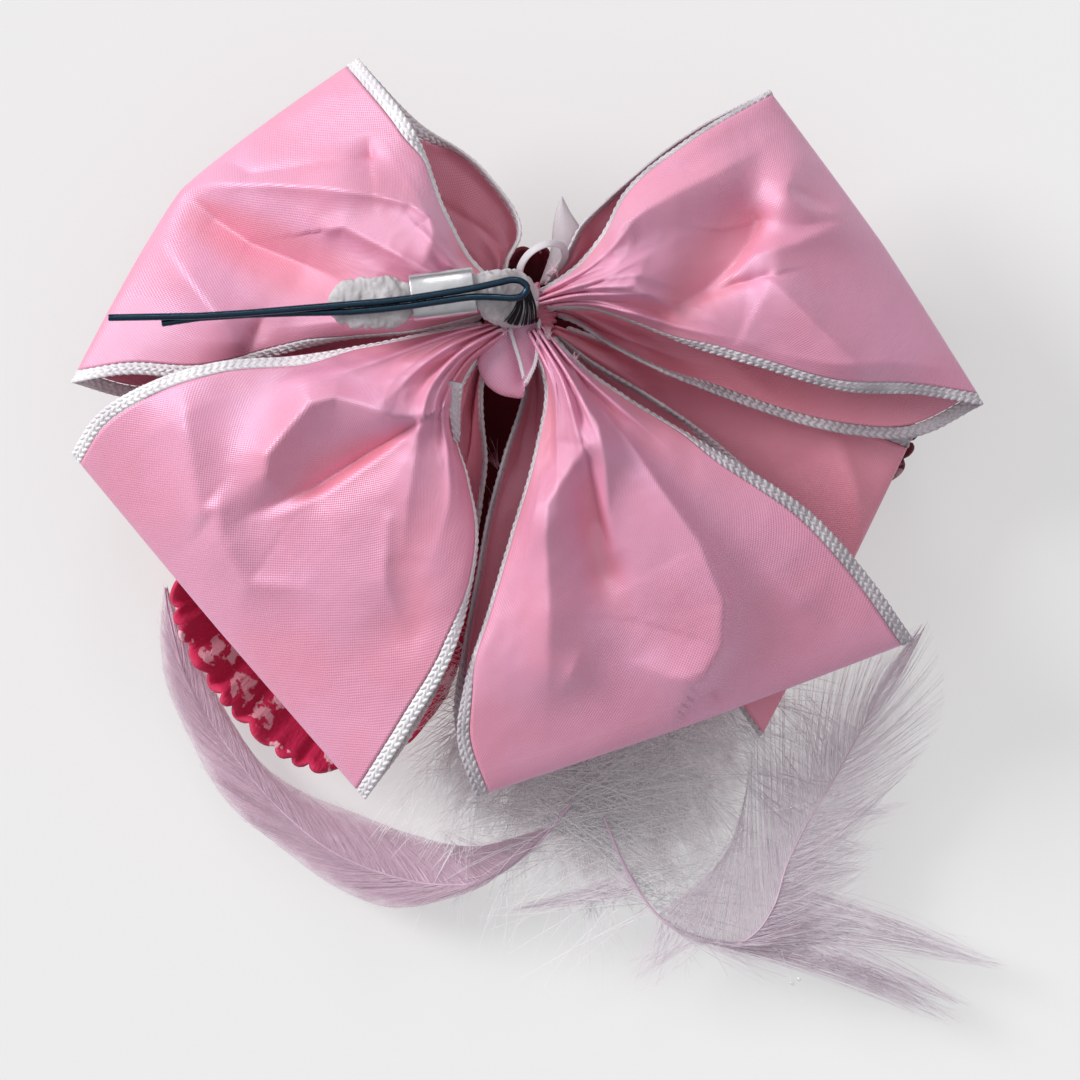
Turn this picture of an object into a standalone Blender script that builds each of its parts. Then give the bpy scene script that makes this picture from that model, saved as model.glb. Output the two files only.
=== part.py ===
"""Ribbon hair bow lying on its flowered front, with its back, its stem and its hair pin on top.

Five loops of one braid-edged ribbon are pleated into a bound knot. A crimson flower, two feathers
and a tuft of down sit under them. Lengths are in metres once they leave the tables, +Z is up, and
the origin is the middle of the footprint, on the surface that the flower lies on.
"""

import math
from typing import NamedTuple

import bmesh
import bpy
import numpy as np

# The tables give places in steps across and down from the corner of a 1080-step square that is
# centred on the origin, and heights in millimetres above the surface.
STEP = 0.000136
MIDDLE = 540.0
MM = 0.001

# Ribbon and its braid
CLOTH_WALL = 1.0 * MM
BRAID_WIDTH = 2.2 * MM
BRAID_WALL = 0.8 * MM
GAP = 0.3 * MM
BRAID_GAP = 0.6 * MM
BRAID_SHARE_AT_ROOT = 0.2
LENGTH_CELLS = 11
WIDTH_CELLS = 10
SHARP_EDGE = 50.0

# Form of a loop: how much of its turn the rounded fold takes, how its crown rises along and across the
# ribbon, how its fold bows, and how soon its folds start from the root and calm down at its edges
NOSE_SHARE = 0.42
CROWN_ALONG = 0.75
CROWN_ACROSS = 0.8
BOW_ROUNDNESS = 1.25
FOLDS_FROM = 0.25
EDGE_CALM = 1.6

# Pleats at the root of each loop
PLEATS = 2.5
PLEAT_HEIGHT = 0.8 * MM
PLEAT_REACH = 0.2

# Bound knot
KNOT_ACROSS = 520.0
KNOT_DOWN = 314.0
KNOT_TOP = 35.6
KNOT_FOOT = 12.0
KNOT_RADIUS = 4.0
KNOT_SIDES = 14
KNOT_WELD = 0.05 * MM
KNOT_PROFILE = [(0.0, KNOT_TOP), (0.65, KNOT_TOP - 0.1), (0.93, KNOT_TOP - 1.0), (1.0, 31.0), (0.9, 24.0),
                (0.97, 18.0), (1.0, 13.2), (0.85, KNOT_FOOT), (0.0, KNOT_FOOT)]

# Hair pin and the sleeve on the stem
WIRE_RADIUS = 0.48 * MM
WIRE_ROUNDING = 2
WELD = 0.001 * MM
SLEEVE_WALL = 0.4 * MM
SLEEVE_HALF_WIDTH = 3.0 * MM
SLEEVE_HALF_DEPTH = 1.55 * MM
SLEEVE_HEIGHT = 43.0 * MM
SLEEVE_SIDES = 20
SLEEVE_SQUARENESS = 0.7
SLEEVE_SHARES = (0.0, 0.03, 0.5, 0.97, 1.0)
STEM_SIDES = 14

# Flower
FLOWER_ACROSS = 535.0
FLOWER_DOWN = 440.0
PETAL_WALL = 1.0 * MM
PETAL_ROOT_RADIUS = 6.0 * MM
PETAL_ROOT_HEIGHT = 8.6 * MM
PETAL_BEND_HEIGHT = 3.4 * MM
PETAL_BEND_SHARE = 0.28
PETAL_SEAT_FROM = 0.5
PETAL_CUP_SHARE = 0.42
PETAL_CELLS = 18
PETAL_ROUNDNESS = 4
PETAL_SIDE_CUT = 0.34
PETAL_SIDE_DROP = 0.55
SCALLOP_DEPTH = 1.3 * MM
BACKING_RADIUS = 17.0 * MM
BACKING_HEIGHT = 10.0 * MM
BACKING_WALL = 1.7 * MM
BACKING_SIDES = 28
HEART_HALF = (5.3, 5.3, 2.7)
HEART_HEIGHT = 7.0
REST_BAND = 0.09 * MM

# Feathers and down
VANE_WALL = 0.8 * MM
VANE_CROWN = 0.5 * MM
VANE_FULL_WIDTH = 4.0 * MM
WISP_SHARES = (0.0, 0.25, 0.5, 0.75, 1.0)
WISP_TIP_SHARE = 0.06
DOWN_WALL = 1.6 * MM
DOWN_ACROSS = 562.0
DOWN_DOWN = 552.0
DOWN_ROOT_HEIGHT = 12.8
DOWN_TIP_HEIGHT = 4.0
DOWN_DROOP = 1.8
DOWN_NOTCH = 0.16
DOWN_SHARES = (0.06, 0.3, 0.55, 0.8, 1.0)


class Loop(NamedTuple):
    """One ribbon loop. Rows of its four edges run from the root to the fold: across, down, height."""

    name: str
    over_near: list
    over_far: list
    under_near: list
    under_far: list
    fold_height: float
    fold_bow: float
    puff: float
    sag: float
    ridges: list


# A ridge: across and down of both ends, height in millimetres (a dent is below 0), half width in steps
LOOPS = [
    Loop(
        name="loop_upper_left",
        over_near=[(498, 285, 33.5), (474, 262, 36.0), (447, 215, 36.0), (415, 132, 33.0), (358, 57, 29.5)],
        over_far=[(483, 313, 33.5), (412, 328, 34.5), (340, 333, 32.0), (268, 356, 29.5), (190, 376, 28.5),
                  (120, 374, 28.0), (70, 382, 28.0)],
        under_near=[(498, 285, 26.5), (507, 262, 25.5), (520, 235, 23.5), (485, 170, 20.0), (415, 117, 18.0),
                    (358, 57, 18.5)],
        under_far=[(483, 313, 26.5), (445, 330, 25.5), (412, 338, 25.0), (385, 348, 24.0), (335, 359, 21.5),
                   (250, 372, 19.5), (125, 397, 18.5), (70, 382, 19.0)],
        fold_height=23.5, fold_bow=6.2, puff=4.0, sag=2.0,
        ridges=[(180, 187, 339, 189, 1.6, 34), (339, 189, 425, 250, 2.0, 30), (196, 205, 330, 280, -1.6, 30),
                (157, 232, 243, 354, 1.2, 34)],
    ),
    Loop(
        name="loop_lower_left",
        over_near=[(483, 325, 33.5), (441, 342, 36.0), (385, 353, 36.5), (299, 358, 35.5), (212, 364, 34.5),
                   (150, 382, 33.0), (92, 418, 30.5), (70, 452, 28.5)],
        over_far=[(505, 345, 33.5), (470, 372, 36.0), (453, 420, 36.5), (466, 480, 36.5), (474, 533, 36.0),
                  (464, 594, 34.5), (448, 655, 32.5), (410, 728, 30.0), (365, 800, 28.5)],
        under_near=[(483, 325, 26.5), (441, 352, 24.0), (385, 376, 20.5), (299, 396, 18.0), (212, 408, 17.0),
                    (150, 418, 17.0), (100, 432, 17.5), (70, 452, 18.5)],
        under_far=[(505, 345, 26.5), (484, 375, 26.0), (482, 410, 24.5), (486, 460, 22.5), (480, 510, 21.0),
                   (468, 580, 19.5), (450, 660, 18.0), (414, 732, 18.0), (365, 800, 18.5)],
        fold_height=23.5, fold_bow=0.3, puff=3.5, sag=1.0,
        ridges=[(179, 404, 221, 541, 1.6, 34), (411, 412, 311, 404, 2.0, 28), (311, 404, 262, 470, 1.6, 28),
                (411, 424, 321, 479, -2.2, 26), (393, 520, 400, 620, -1.4, 34)],
    ),
    Loop(
        name="loop_lower_right",
        over_near=[(527, 348, 33.5), (545, 385, 36.5), (536, 449, 37.0), (512, 533, 36.5), (486, 619, 34.0),
                   (466, 680, 32.0), (457, 740, 30.0), (475, 797, 28.5)],
        over_far=[(555, 332, 33.5), (580, 364, 36.0), (629, 399, 37.0), (689, 435, 37.0), (755, 474, 36.0),
                  (810, 512, 34.5), (860, 565, 32.0), (915, 640, 29.0)],
        under_near=[(527, 348, 26.5), (524, 390, 27.0), (504, 456, 27.5), (487, 520, 26.5), (476, 580, 24.5),
                    (463, 650, 22.0), (454, 720, 21.0), (475, 797, 21.5)],
        under_far=[(555, 332, 26.5), (590, 360, 28.0), (650, 396, 27.5), (702, 431, 26.5), (760, 478, 24.5),
                   (830, 545, 22.0), (915, 640, 21.5)],
        fold_height=25.0, fold_bow=0.6, puff=4.0, sag=0.5,
        ridges=[(588, 446, 545, 520, 2.2, 24), (545, 520, 545, 640, 1.4, 26), (600, 430, 650, 540, 2.2, 26),
                (650, 540, 715, 630, 2.2, 34), (575, 470, 610, 560, -2.4, 22), (565, 620, 690, 680, 1.0, 26)],
    ),
    Loop(
        name="loop_upper_right",
        over_near=[(552, 284, 33.5), (580, 262, 36.0), (602, 235, 37.0), (624, 194, 37.0), (690, 138, 34.0),
                   (770, 90, 29.0)],
        over_far=[(553, 308, 33.5), (590, 309, 36.5), (636, 323, 37.5), (698, 348, 37.0), (767, 369, 35.5),
                  (847, 391, 33.0), (920, 394, 30.0), (985, 404, 28.0)],
        under_near=[(552, 284, 26.5), (568, 250, 27.0), (581, 225, 26.0), (602, 204, 25.0), (640, 170, 23.5),
                    (700, 126, 22.0), (770, 90, 22.0)],
        under_far=[(553, 308, 26.5), (575, 322, 28.0), (606, 342, 28.5), (652, 366, 28.0), (698, 386, 27.0),
                   (755, 408, 25.5), (812, 426, 24.0), (858, 435, 23.0), (914, 437, 22.0), (985, 404, 22.0)],
        fold_height=25.0, fold_bow=0.9, puff=3.5, sag=0.5,
        ridges=[(795, 164, 788, 193, 1.8, 26), (788, 205, 838, 222, 1.6, 22), (752, 214, 670, 307, -2.0, 24),
                (616, 229, 720, 179, 1.6, 26), (770, 279, 863, 371, 1.6, 34)],
    ),
    Loop(
        name="loop_rear",
        over_near=[(557, 322, 19.5), (640, 350, 19.0), (760, 385, 18.5), (850, 410, 18.0), (915, 435, 17.5)],
        over_far=[(534, 348, 19.5), (585, 450, 19.0), (645, 560, 18.5), (702, 650, 18.0), (762, 738, 17.5)],
        under_near=[(557, 322, 15.5), (640, 350, 14.2), (760, 385, 13.8), (850, 410, 13.8), (915, 435, 14.0)],
        under_far=[(534, 348, 15.5), (585, 450, 14.2), (645, 560, 13.8), (702, 650, 13.8), (762, 738, 14.0)],
        fold_height=15.75, fold_bow=0.4, puff=0.4, sag=0.2,
        ridges=[],
    ),
]


class Section(NamedTuple):
    """A cross-section of the stem: its middle, and its half width and half depth in millimetres."""

    across: float
    down: float
    height: float
    half_width: float
    half_depth: float


STEM = [
    Section(329, 301.0, 42.8, 0.8, 0.5),
    Section(334, 302.0, 42.8, 2.0, 1.1),
    Section(348, 303.5, 42.9, 3.1, 1.5),
    Section(375, 304.0, 43.0, 3.5, 1.7),
    Section(399, 301.5, 43.0, 3.2, 1.6),
    Section(407, 299.8, 43.0, 2.45, 1.0),
    Section(479, 291.4, 43.0, 2.45, 1.0),
    Section(488, 293.0, 42.2, 3.1, 1.7),
    Section(500, 297.0, 40.6, 3.8, 2.2),
    Section(514, 299.0, 38.8, 3.9, 2.5),
    Section(528, 299.0, 38.2, 3.2, 2.1),
    Section(538, 299.0, 37.8, 1.4, 1.2),
]
SLEEVE_ENDS = [(411.5, 298.8), (475.0, 291.0)]

# The pin's wire from the tip of its long leg round the eye to the tip of its short leg, which passes
# under the long one: across, down, and height in millimetres above its place on the sleeve. Then which
# of these rows its curved head runs through
PIN_ROUTE = [
    (110, 318.6, 0.0), (200, 317.0, 0.0), (250, 313.9, 0.0), (300, 309.6, 0.0), (350, 305.4, 0.0),
    (380, 303.0, 0.0), (411, 299.4, 0.0), (440, 294.8, 0.0), (475, 288.8, 0.0), (500, 283.4, 0.0),
    (513, 280.8, 0.0), (522, 282.6, 0.0), (527.4, 288.6, 0.0), (523, 296.2, 0.0), (513, 299.0, 0.0),
    (500, 298.4, 0.0), (475, 297.9, 0.0), (440, 302.4, 0.0), (411, 306.8, 0.0), (380, 310.4, -0.05),
    (350, 312.9, -0.15), (300, 313.7, -1.05), (250, 315.4, -1.1), (200, 318.6, -1.1), (163, 324.2, -0.85),
]
PIN_HEAD_ROWS = (7, 17)
PIN_HEAD_POINTS = 25

# White tape: across, down and height of the loop's middle line, and the outline of the pointed end
TAPE_RADIUS = 0.6 * MM
TAPE_POINTS = 15
TAPE_ROUTE = [(519, 279, 33.5), (521, 266, 35.0), (527, 256, 36.2), (538, 247.5, 36.8), (551, 243.5, 36.5),
              (562, 246.5, 35.0), (565, 254, 33.4), (560, 265, 31.8), (549, 275, 30.6)]
TAPE_TAIL = [(561, 195), (580, 226), (572, 258), (548, 284), (538, 285), (550, 250), (551, 237)]
TAPE_TAIL_HEIGHT = 22.0 * MM

# Tab of ribbon over the knot: middle, then its half sizes in millimetres
TAB_MIDDLE = (510, 366, 37.3)
TAB_HALF = (4.25, 4.6, 1.6)


class Petal(NamedTuple):
    """A petal of the flower: its direction and half angle in degrees, its reach and rim in millimetres."""

    name: str
    direction: float
    half_angle: float
    reach: float
    rim: float
    seat: float


PETALS = [
    Petal("petal_lower_left", 220.0, 31.0, 56.0, 11.0, 0.72),
    Petal("petal_lower_right", 289.0, 30.0, 40.0, 5.0, 0.72),
    Petal("petal_right", 17.0, 29.0, 53.0, 11.0, 0.66),
    Petal("petal_upper", 88.0, 33.0, 26.5, 15.0, 0.55),
    Petal("petal_upper_left", 155.0, 29.0, 45.0, 9.0, 0.66),
]

# Feather bands: across and down of the outer edge, of the inner edge, and the height
FEATHER_LEFT = [
    (160, 589, 163, 588, 5.6), (156, 632, 172, 612, 5.4), (161, 681, 200, 670, 5.0),
    (186, 741, 229, 725, 4.8), (221, 802, 257, 765, 4.8), (279, 852, 296, 793, 5.2),
    (339, 895, 350, 815, 6.0), (385, 912, 411, 838, 7.0), (446, 903, 470, 850, 8.2),
    (490, 882, 505, 845, 9.2), (535, 852, 542, 838, 10.2), (570, 810, 577, 808, 11.8),
    (582, 760, 588, 760, 12.8), (572, 680, 578, 680, 14.2), (557, 580, 563, 580, 14.4),
    (555, 545, 561, 545, 14.4),
]
FEATHER_RIGHT = [
    (562, 548, 569, 548, 15.6), (572, 600, 579, 600, 15.6), (596, 700, 602, 700, 14.8),
    (598, 770, 612, 765, 12.8), (585, 850, 665, 800, 11.0), (602, 905, 706, 850, 9.6),
    (640, 952, 728, 880, 8.4), (705, 985, 738, 885, 8.0), (790, 985, 745, 868, 8.0),
    (850, 948, 748, 845, 8.0), (882, 892, 752, 810, 8.2), (890, 830, 768, 772, 8.6),
    (908, 770, 792, 738, 9.2), (930, 720, 812, 705, 9.8), (938, 676, 850, 672, 10.2),
    (924, 637, 920, 634, 10.4),
]
# Loose points of the right feather: across and down of the start and the tip, half width, both heights
WISPS = [
    (780, 925, 1014, 971, 13.0, 7.9, 5.6),
    (750, 950, 974, 1024, 15.0, 7.9, 5.4),
    (670, 905, 500, 916, 9.0, 8.9, 6.4),
]
# Down: direction in degrees and reach in millimetres of the tuft's outline
DOWN_LOCKS = [
    (237, 42), (244, 46), (252, 49), (261, 53), (271, 56), (281, 60), (292, 59), (303, 55),
    (315, 49), (327, 42),
]


def place(across, down, height=0.0):
    """The point in metres of a place in the tables."""
    return np.array([(across - MIDDLE) * STEP, (MIDDLE - down) * STEP, height * MM])


def clear_scene():
    """Removes whatever the file holds."""
    for thing in list(bpy.data.objects):
        bpy.data.objects.remove(thing, do_unlink=True)


def finish(name, colour, roughness, metallic=0.0):
    """A plain Principled material."""
    material = bpy.data.materials.new(name)
    material.use_nodes = True
    shader = material.node_tree.nodes["Principled BSDF"]
    shader.inputs["Base Color"].default_value = (*colour, 1.0)
    shader.inputs["Roughness"].default_value = roughness
    shader.inputs["Metallic"].default_value = metallic
    material.diffuse_color = (*colour, 1.0)
    return material


def add_object(name, mesh, collection, material):
    """Puts a mesh in the scene as a named object, smooth except along its sharp edges."""
    thing = bpy.data.objects.new(name, mesh)
    collection.objects.link(thing)
    mesh.materials.clear()
    mesh.materials.append(material)
    mesh.shade_smooth()
    mesh.set_sharp_from_angle(angle=math.radians(SHARP_EDGE))
    return thing


def spline(rows, share):
    """Points at the given shares, 0 to 1, of a smooth curve through the rows."""
    points = np.array(rows, float)
    lengths = np.linalg.norm(np.diff(points[:, :2], axis=0), axis=1)
    knots = np.concatenate([[0.0], np.cumsum(lengths)])
    knots /= knots[-1]
    slopes = np.gradient(points, knots, axis=0)
    share = np.clip(np.atleast_1d(share), 0.0, 1.0)
    cell = np.clip(np.searchsorted(knots, share, side="right") - 1, 0, len(knots) - 2)
    span = (knots[cell + 1] - knots[cell])[:, None]
    t = ((share - knots[cell])[:, None]) / span
    return (
        (2 * t**3 - 3 * t**2 + 1) * points[cell]
        + (t**3 - 2 * t**2 + t) * span * slopes[cell]
        + (3 * t**2 - 2 * t**3) * points[cell + 1]
        + (t**3 - t**2) * span * slopes[cell + 1]
    )


def grid_mesh(name, grid, ring=False, ends=False):
    """A mesh of quads through a grid of points; ring joins its last column to its first, ends caps it."""
    rows, columns = grid.shape[:2]
    mesh = bpy.data.meshes.new(name)
    cloth = bmesh.new()
    corners = [[cloth.verts.new(point) for point in row] for row in grid]
    for i in range(rows - 1):
        for j in range(columns if ring else columns - 1):
            k = (j + 1) % columns
            cloth.faces.new((corners[i][j], corners[i][k], corners[i + 1][k], corners[i + 1][j]))
    if ends:
        cloth.faces.new(corners[0][::-1])
        cloth.faces.new(corners[-1])
        bmesh.ops.recalc_face_normals(cloth, faces=cloth.faces)
    cloth.to_mesh(mesh)
    cloth.free()
    return mesh


def wall(thing, thickness):
    """Gives an open surface its thickness, half to each side."""
    solidify = thing.modifiers.new("Wall", "SOLIDIFY")
    solidify.thickness = thickness
    solidify.offset = 0.0
    return thing


def evaluated_mesh(thing):
    """The object's mesh with its modifiers applied."""
    graph = bpy.context.evaluated_depsgraph_get()
    return bpy.data.meshes.new_from_object(thing.evaluated_get(graph))


def ridge_height(ridges, points):
    """The height that the folds of a loop add at each point, given in table steps."""
    height = np.zeros(points.shape[:-1])
    for across_a, down_a, across_b, down_b, lift, half_width in ridges:
        start = np.array([across_a, down_a], float)
        run = np.array([across_b, down_b], float) - start
        along = np.clip(((points - start) @ run) / (run @ run), 0.0, 1.0)
        away = np.linalg.norm(points - start - along[..., None] * run, axis=-1)
        height += lift * np.exp(-((away / half_width) ** 2))
    return height


def layer_surface(near, far, loop, lift, reach, width):
    """Points in table steps and millimetres of one layer, a row for each reach, a column for each width."""
    a = spline(near, reach)[:, None, :]
    b = spline(far, reach)[:, None, :]
    v = width[:, :, None]
    points = a * (1 - v) + b * v
    fold_run = np.array(far[-1][:2], float) - np.array(near[-1][:2], float)
    outward = np.array([fold_run[1], -fold_run[0]]) / np.linalg.norm(fold_run)
    root = (np.array(near[0][:2], float) + np.array(far[0][:2], float)) / 2
    if outward @ (np.array(near[-1][:2], float) - root) < 0:
        outward = -outward
    bow = loop.fold_bow * MM / STEP * (1 - np.abs(2 * width - 1) ** BOW_ROUNDNESS) * reach[:, None] ** 2
    points[..., :2] += bow[..., None] * outward
    crown = np.sin(math.pi * reach**CROWN_ALONG)[:, None]
    crown = crown * np.sin(math.pi * np.clip(width, 0, 1)) ** CROWN_ACROSS
    points[..., 2] += lift * crown
    return points


def loop_surface(loop, turn, margins):
    """The loop's middle surface in metres: a row for each turn, 0 root, 1 fold, 2 root again."""
    over = turn <= 1.0
    to_fold = np.abs(1.0 - turn)
    reach = 1.0 - to_fold**2
    ends_over = spline(loop.over_near, reach), spline(loop.over_far, reach)
    ends_under = spline(loop.under_near, reach), spline(loop.under_far, reach)
    near = np.where(over[:, None], ends_over[0], ends_under[0])
    far = np.where(over[:, None], ends_over[1], ends_under[1])
    wide = np.linalg.norm(far[:, :2] - near[:, :2], axis=1) * STEP
    width = margins(wide)
    top = layer_surface(loop.over_near, loop.over_far, loop, loop.puff, reach, width)
    low = layer_surface(loop.under_near, loop.under_far, loop, -loop.sag, reach, width)
    points = np.where(over[:, None, None], top, low)
    pleat = PLEAT_HEIGHT / MM * np.cos(2 * math.pi * PLEATS * width)
    points[..., 2] += pleat * np.exp(-((reach / PLEAT_REACH) ** 2))[:, None]
    calm = np.clip(reach / FOLDS_FROM, 0.0, 1.0)[:, None]
    calm = calm * np.clip(4 * width * (1 - width) * EDGE_CALM, 0.0, 1.0)
    points[..., 2] += np.where(over[:, None], ridge_height(loop.ridges, points[..., :2]) * calm, 0.0)
    rise = np.sin(0.5 * math.pi * np.clip(to_fold / NOSE_SHARE, 0.0, 1.0))[:, None]
    points[..., 2] = loop.fold_height + (points[..., 2] - loop.fold_height) * rise
    metres = np.empty_like(points)
    metres[..., 0] = (points[..., 0] - MIDDLE) * STEP
    metres[..., 1] = (MIDDLE - points[..., 1]) * STEP
    metres[..., 2] = points[..., 2] * MM
    return metres


def braid_share(wide):
    """The share of the ribbon's width that one braid takes where the ribbon is this wide."""
    return np.minimum(BRAID_WIDTH / wide, BRAID_SHARE_AT_ROOT)


def ribbon_columns(wide):
    """Width shares of the ribbon's columns, between its two braids."""
    inset = (braid_share(wide) + BRAID_GAP / wide)[:, None]
    return inset + (1 - 2 * inset) * np.linspace(0.0, 1.0, WIDTH_CELLS + 1)[None, :]


def near_columns(wide):
    """Width shares of the braid along the near edge."""
    return braid_share(wide)[:, None] * np.array([[0.0, 1.0]])


def far_columns(wide):
    """Width shares of the braid along the far edge."""
    return 1.0 - braid_share(wide)[:, None] * np.array([[1.0, 0.0]])


def make_loop(loop, collection, ribbon, braid):
    """A ribbon loop and its two braids."""
    turn = np.linspace(0.0, 2.0, 2 * LENGTH_CELLS + 1)
    cloth = grid_mesh(loop.name, loop_surface(loop, turn, ribbon_columns))
    wall(add_object(loop.name, cloth, collection, ribbon), CLOTH_WALL)
    side = loop.name.replace("loop_", "")
    for edge, columns in (("near", near_columns), ("far", far_columns)):
        name = f"edging_{side}_{edge}"
        strip = grid_mesh(name, loop_surface(loop, turn[1:-1], columns))
        wall(add_object(name, strip, collection, braid), BRAID_WALL)


def ellipse_ring(middle, along, half_width, half_depth, sides, power=1.0):
    """A ring of points round a middle, across a level direction; a power under 1 squares it."""
    along = along / np.linalg.norm(along)
    side = np.cross([0.0, 0.0, 1.0], along)
    side /= np.linalg.norm(side)
    up = np.cross(along, side)
    ring = []
    for k in range(sides):
        angle = 2 * math.pi * (k + 0.5) / sides
        out = abs(math.cos(angle)) ** power * math.copysign(half_width, math.cos(angle))
        rise = abs(math.sin(angle)) ** power * math.copysign(half_depth, math.sin(angle))
        ring.append(middle + side * out + up * rise)
    return ring


def make_stem(collection, paper):
    """The tape-wrapped stem, lofted through its sections."""
    middles = [place(s.across, s.down, s.height) for s in STEM]
    rings = []
    for k, section in enumerate(STEM):
        along = middles[min(k + 1, len(STEM) - 1)] - middles[max(k - 1, 0)]
        along[2] *= 0.5
        rings.append(ellipse_ring(middles[k], along, section.half_width * MM, section.half_depth * MM,
                                  STEM_SIDES))
    mesh = grid_mesh("stem_tape", np.array(rings), ring=True, ends=True)
    return add_object("stem_tape", mesh, collection, paper)


def make_ferrule(collection, steel):
    """The steel sleeve: a tube pressed flat, round the stem."""
    ends = [place(across, down) for across, down in SLEEVE_ENDS]
    along = ends[1] - ends[0]
    rings = []
    for share in SLEEVE_SHARES:
        middle = ends[0] + along * share
        middle[2] = SLEEVE_HEIGHT
        rings.append(ellipse_ring(middle, along, SLEEVE_HALF_WIDTH, SLEEVE_HALF_DEPTH, SLEEVE_SIDES,
                                  SLEEVE_SQUARENESS))
    sleeve = add_object("ferrule", grid_mesh("ferrule", np.array(rings), ring=True), collection, steel)
    return wall(sleeve, SLEEVE_WALL)


def weld(mesh):
    """Joins corners that meet and turns every face outward."""
    skin = bmesh.new()
    skin.from_mesh(mesh)
    bmesh.ops.remove_doubles(skin, verts=skin.verts, dist=WELD)
    bmesh.ops.recalc_face_normals(skin, faces=skin.faces)
    skin.to_mesh(mesh)
    skin.free()


def make_wire(name, points, radius, collection, material):
    """A round wire along points, as a mesh with welded caps."""
    curve = bpy.data.curves.new(name, "CURVE")
    curve.dimensions = "3D"
    curve.bevel_depth = radius
    curve.bevel_resolution = WIRE_ROUNDING
    curve.use_fill_caps = True
    line = curve.splines.new("POLY")
    line.points.add(len(points) - 1)
    for point, where in zip(line.points, points):
        point.co = (*where, 1.0)
    guide = bpy.data.objects.new(name + "_route", curve)
    collection.objects.link(guide)
    mesh = evaluated_mesh(guide)
    mesh.name = name
    bpy.data.objects.remove(guide, do_unlink=True)
    weld(mesh)
    return add_object(name, mesh, collection, material)


def make_pin(collection, black):
    """The hair pin, lying on the sleeve."""
    height = SLEEVE_HEIGHT + SLEEVE_HALF_DEPTH + SLEEVE_WALL / 2 + GAP + WIRE_RADIUS
    first, last = PIN_HEAD_ROWS
    head = spline(PIN_ROUTE[first:last + 1], np.linspace(0.0, 1.0, PIN_HEAD_POINTS))
    route = PIN_ROUTE[:first] + [tuple(row) for row in head] + PIN_ROUTE[last + 1:]
    points = [place(across, down, height / MM + rise) for across, down, rise in route]
    return make_wire("bobby_pin", points, WIRE_RADIUS, collection, black)


def make_tape(collection, white):
    """The white tape's loop and its pointed end."""
    route = spline(TAPE_ROUTE, np.linspace(0.0, 1.0, TAPE_POINTS))
    make_wire("tape_loop", [place(*row) for row in route], TAPE_RADIUS, collection, white)
    curve = bpy.data.curves.new("tape_tail", "CURVE")
    curve.dimensions = "2D"
    curve.fill_mode = "BOTH"
    curve.extrude = CLOTH_WALL / 2
    outline = curve.splines.new("POLY")
    outline.points.add(len(TAPE_TAIL) - 1)
    for point, (across, down) in zip(outline.points, TAPE_TAIL):
        point.co = (*place(across, down)[:2], 0.0, 1.0)
    outline.use_cyclic_u = True
    guide = bpy.data.objects.new("tape_tail_outline", curve)
    collection.objects.link(guide)
    guide.location.z = TAPE_TAIL_HEIGHT
    bpy.context.view_layer.update()
    mesh = evaluated_mesh(guide)
    mesh.transform(guide.matrix_world)
    bpy.data.objects.remove(guide, do_unlink=True)
    weld(mesh)
    return add_object("tape_tail", mesh, collection, white)


def make_pad(name, middle, half_sizes, collection, material):
    """A rounded pad with the given middle and half sizes in millimetres."""
    mesh = bpy.data.meshes.new(name)
    pad = bmesh.new()
    bmesh.ops.create_uvsphere(pad, u_segments=16, v_segments=8, radius=1.0)
    bmesh.ops.scale(pad, vec=[size * MM for size in half_sizes], verts=pad.verts)
    bmesh.ops.translate(pad, vec=place(*middle), verts=pad.verts)
    pad.to_mesh(mesh)
    pad.free()
    return add_object(name, mesh, collection, material)


def make_knot(collection, thread):
    """The bound knot that the loops run into, turned about an upright line."""
    mesh = bpy.data.meshes.new("gather_knot")
    points = [(radius * KNOT_RADIUS * MM, 0.0, height * MM) for radius, height in KNOT_PROFILE]
    mesh.from_pydata(points, [(k, k + 1) for k in range(len(points) - 1)], [])
    knot = add_object("gather_knot", mesh, collection, thread)
    screw = knot.modifiers.new("Turn", "SCREW")
    screw.steps = KNOT_SIDES
    screw.render_steps = KNOT_SIDES
    screw.use_merge_vertices = True
    screw.merge_threshold = KNOT_WELD
    knot.location = place(KNOT_ACROSS, KNOT_DOWN)
    return knot


def petal_surface(petal):
    """The petal's middle surface: rows out from the root, columns round the flower."""
    middle = place(FLOWER_ACROSS, FLOWER_DOWN)
    shares = [0.0, PETAL_BEND_SHARE, PETAL_SEAT_FROM, petal.seat, (1 + petal.seat) / 2, 1.0]
    rim = petal.rim * MM
    lying = PETAL_WALL / 2
    heights = [PETAL_ROOT_HEIGHT, PETAL_BEND_HEIGHT, lying, lying, rim * PETAL_CUP_SHARE, rim]
    rows = []
    for share, height in zip(shares, heights):
        row = []
        for k in range(PETAL_CELLS + 1):
            side = 2 * k / PETAL_CELLS - 1
            angle = math.radians(petal.direction + petal.half_angle * side)
            outline = petal.reach * MM * (1 - PETAL_SIDE_CUT * abs(side) ** PETAL_ROUNDNESS)
            outline -= SCALLOP_DEPTH * (k % 2) * (share == shares[-1])
            radius = PETAL_ROOT_RADIUS + (outline - PETAL_ROOT_RADIUS) * share
            lift = height * (1 - PETAL_SIDE_DROP * abs(side) ** PETAL_ROUNDNESS * (share > petal.seat))
            row.append(middle + np.array([math.cos(angle) * radius, math.sin(angle) * radius, lift]))
        rows.append(row)
    return np.array(rows)


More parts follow.
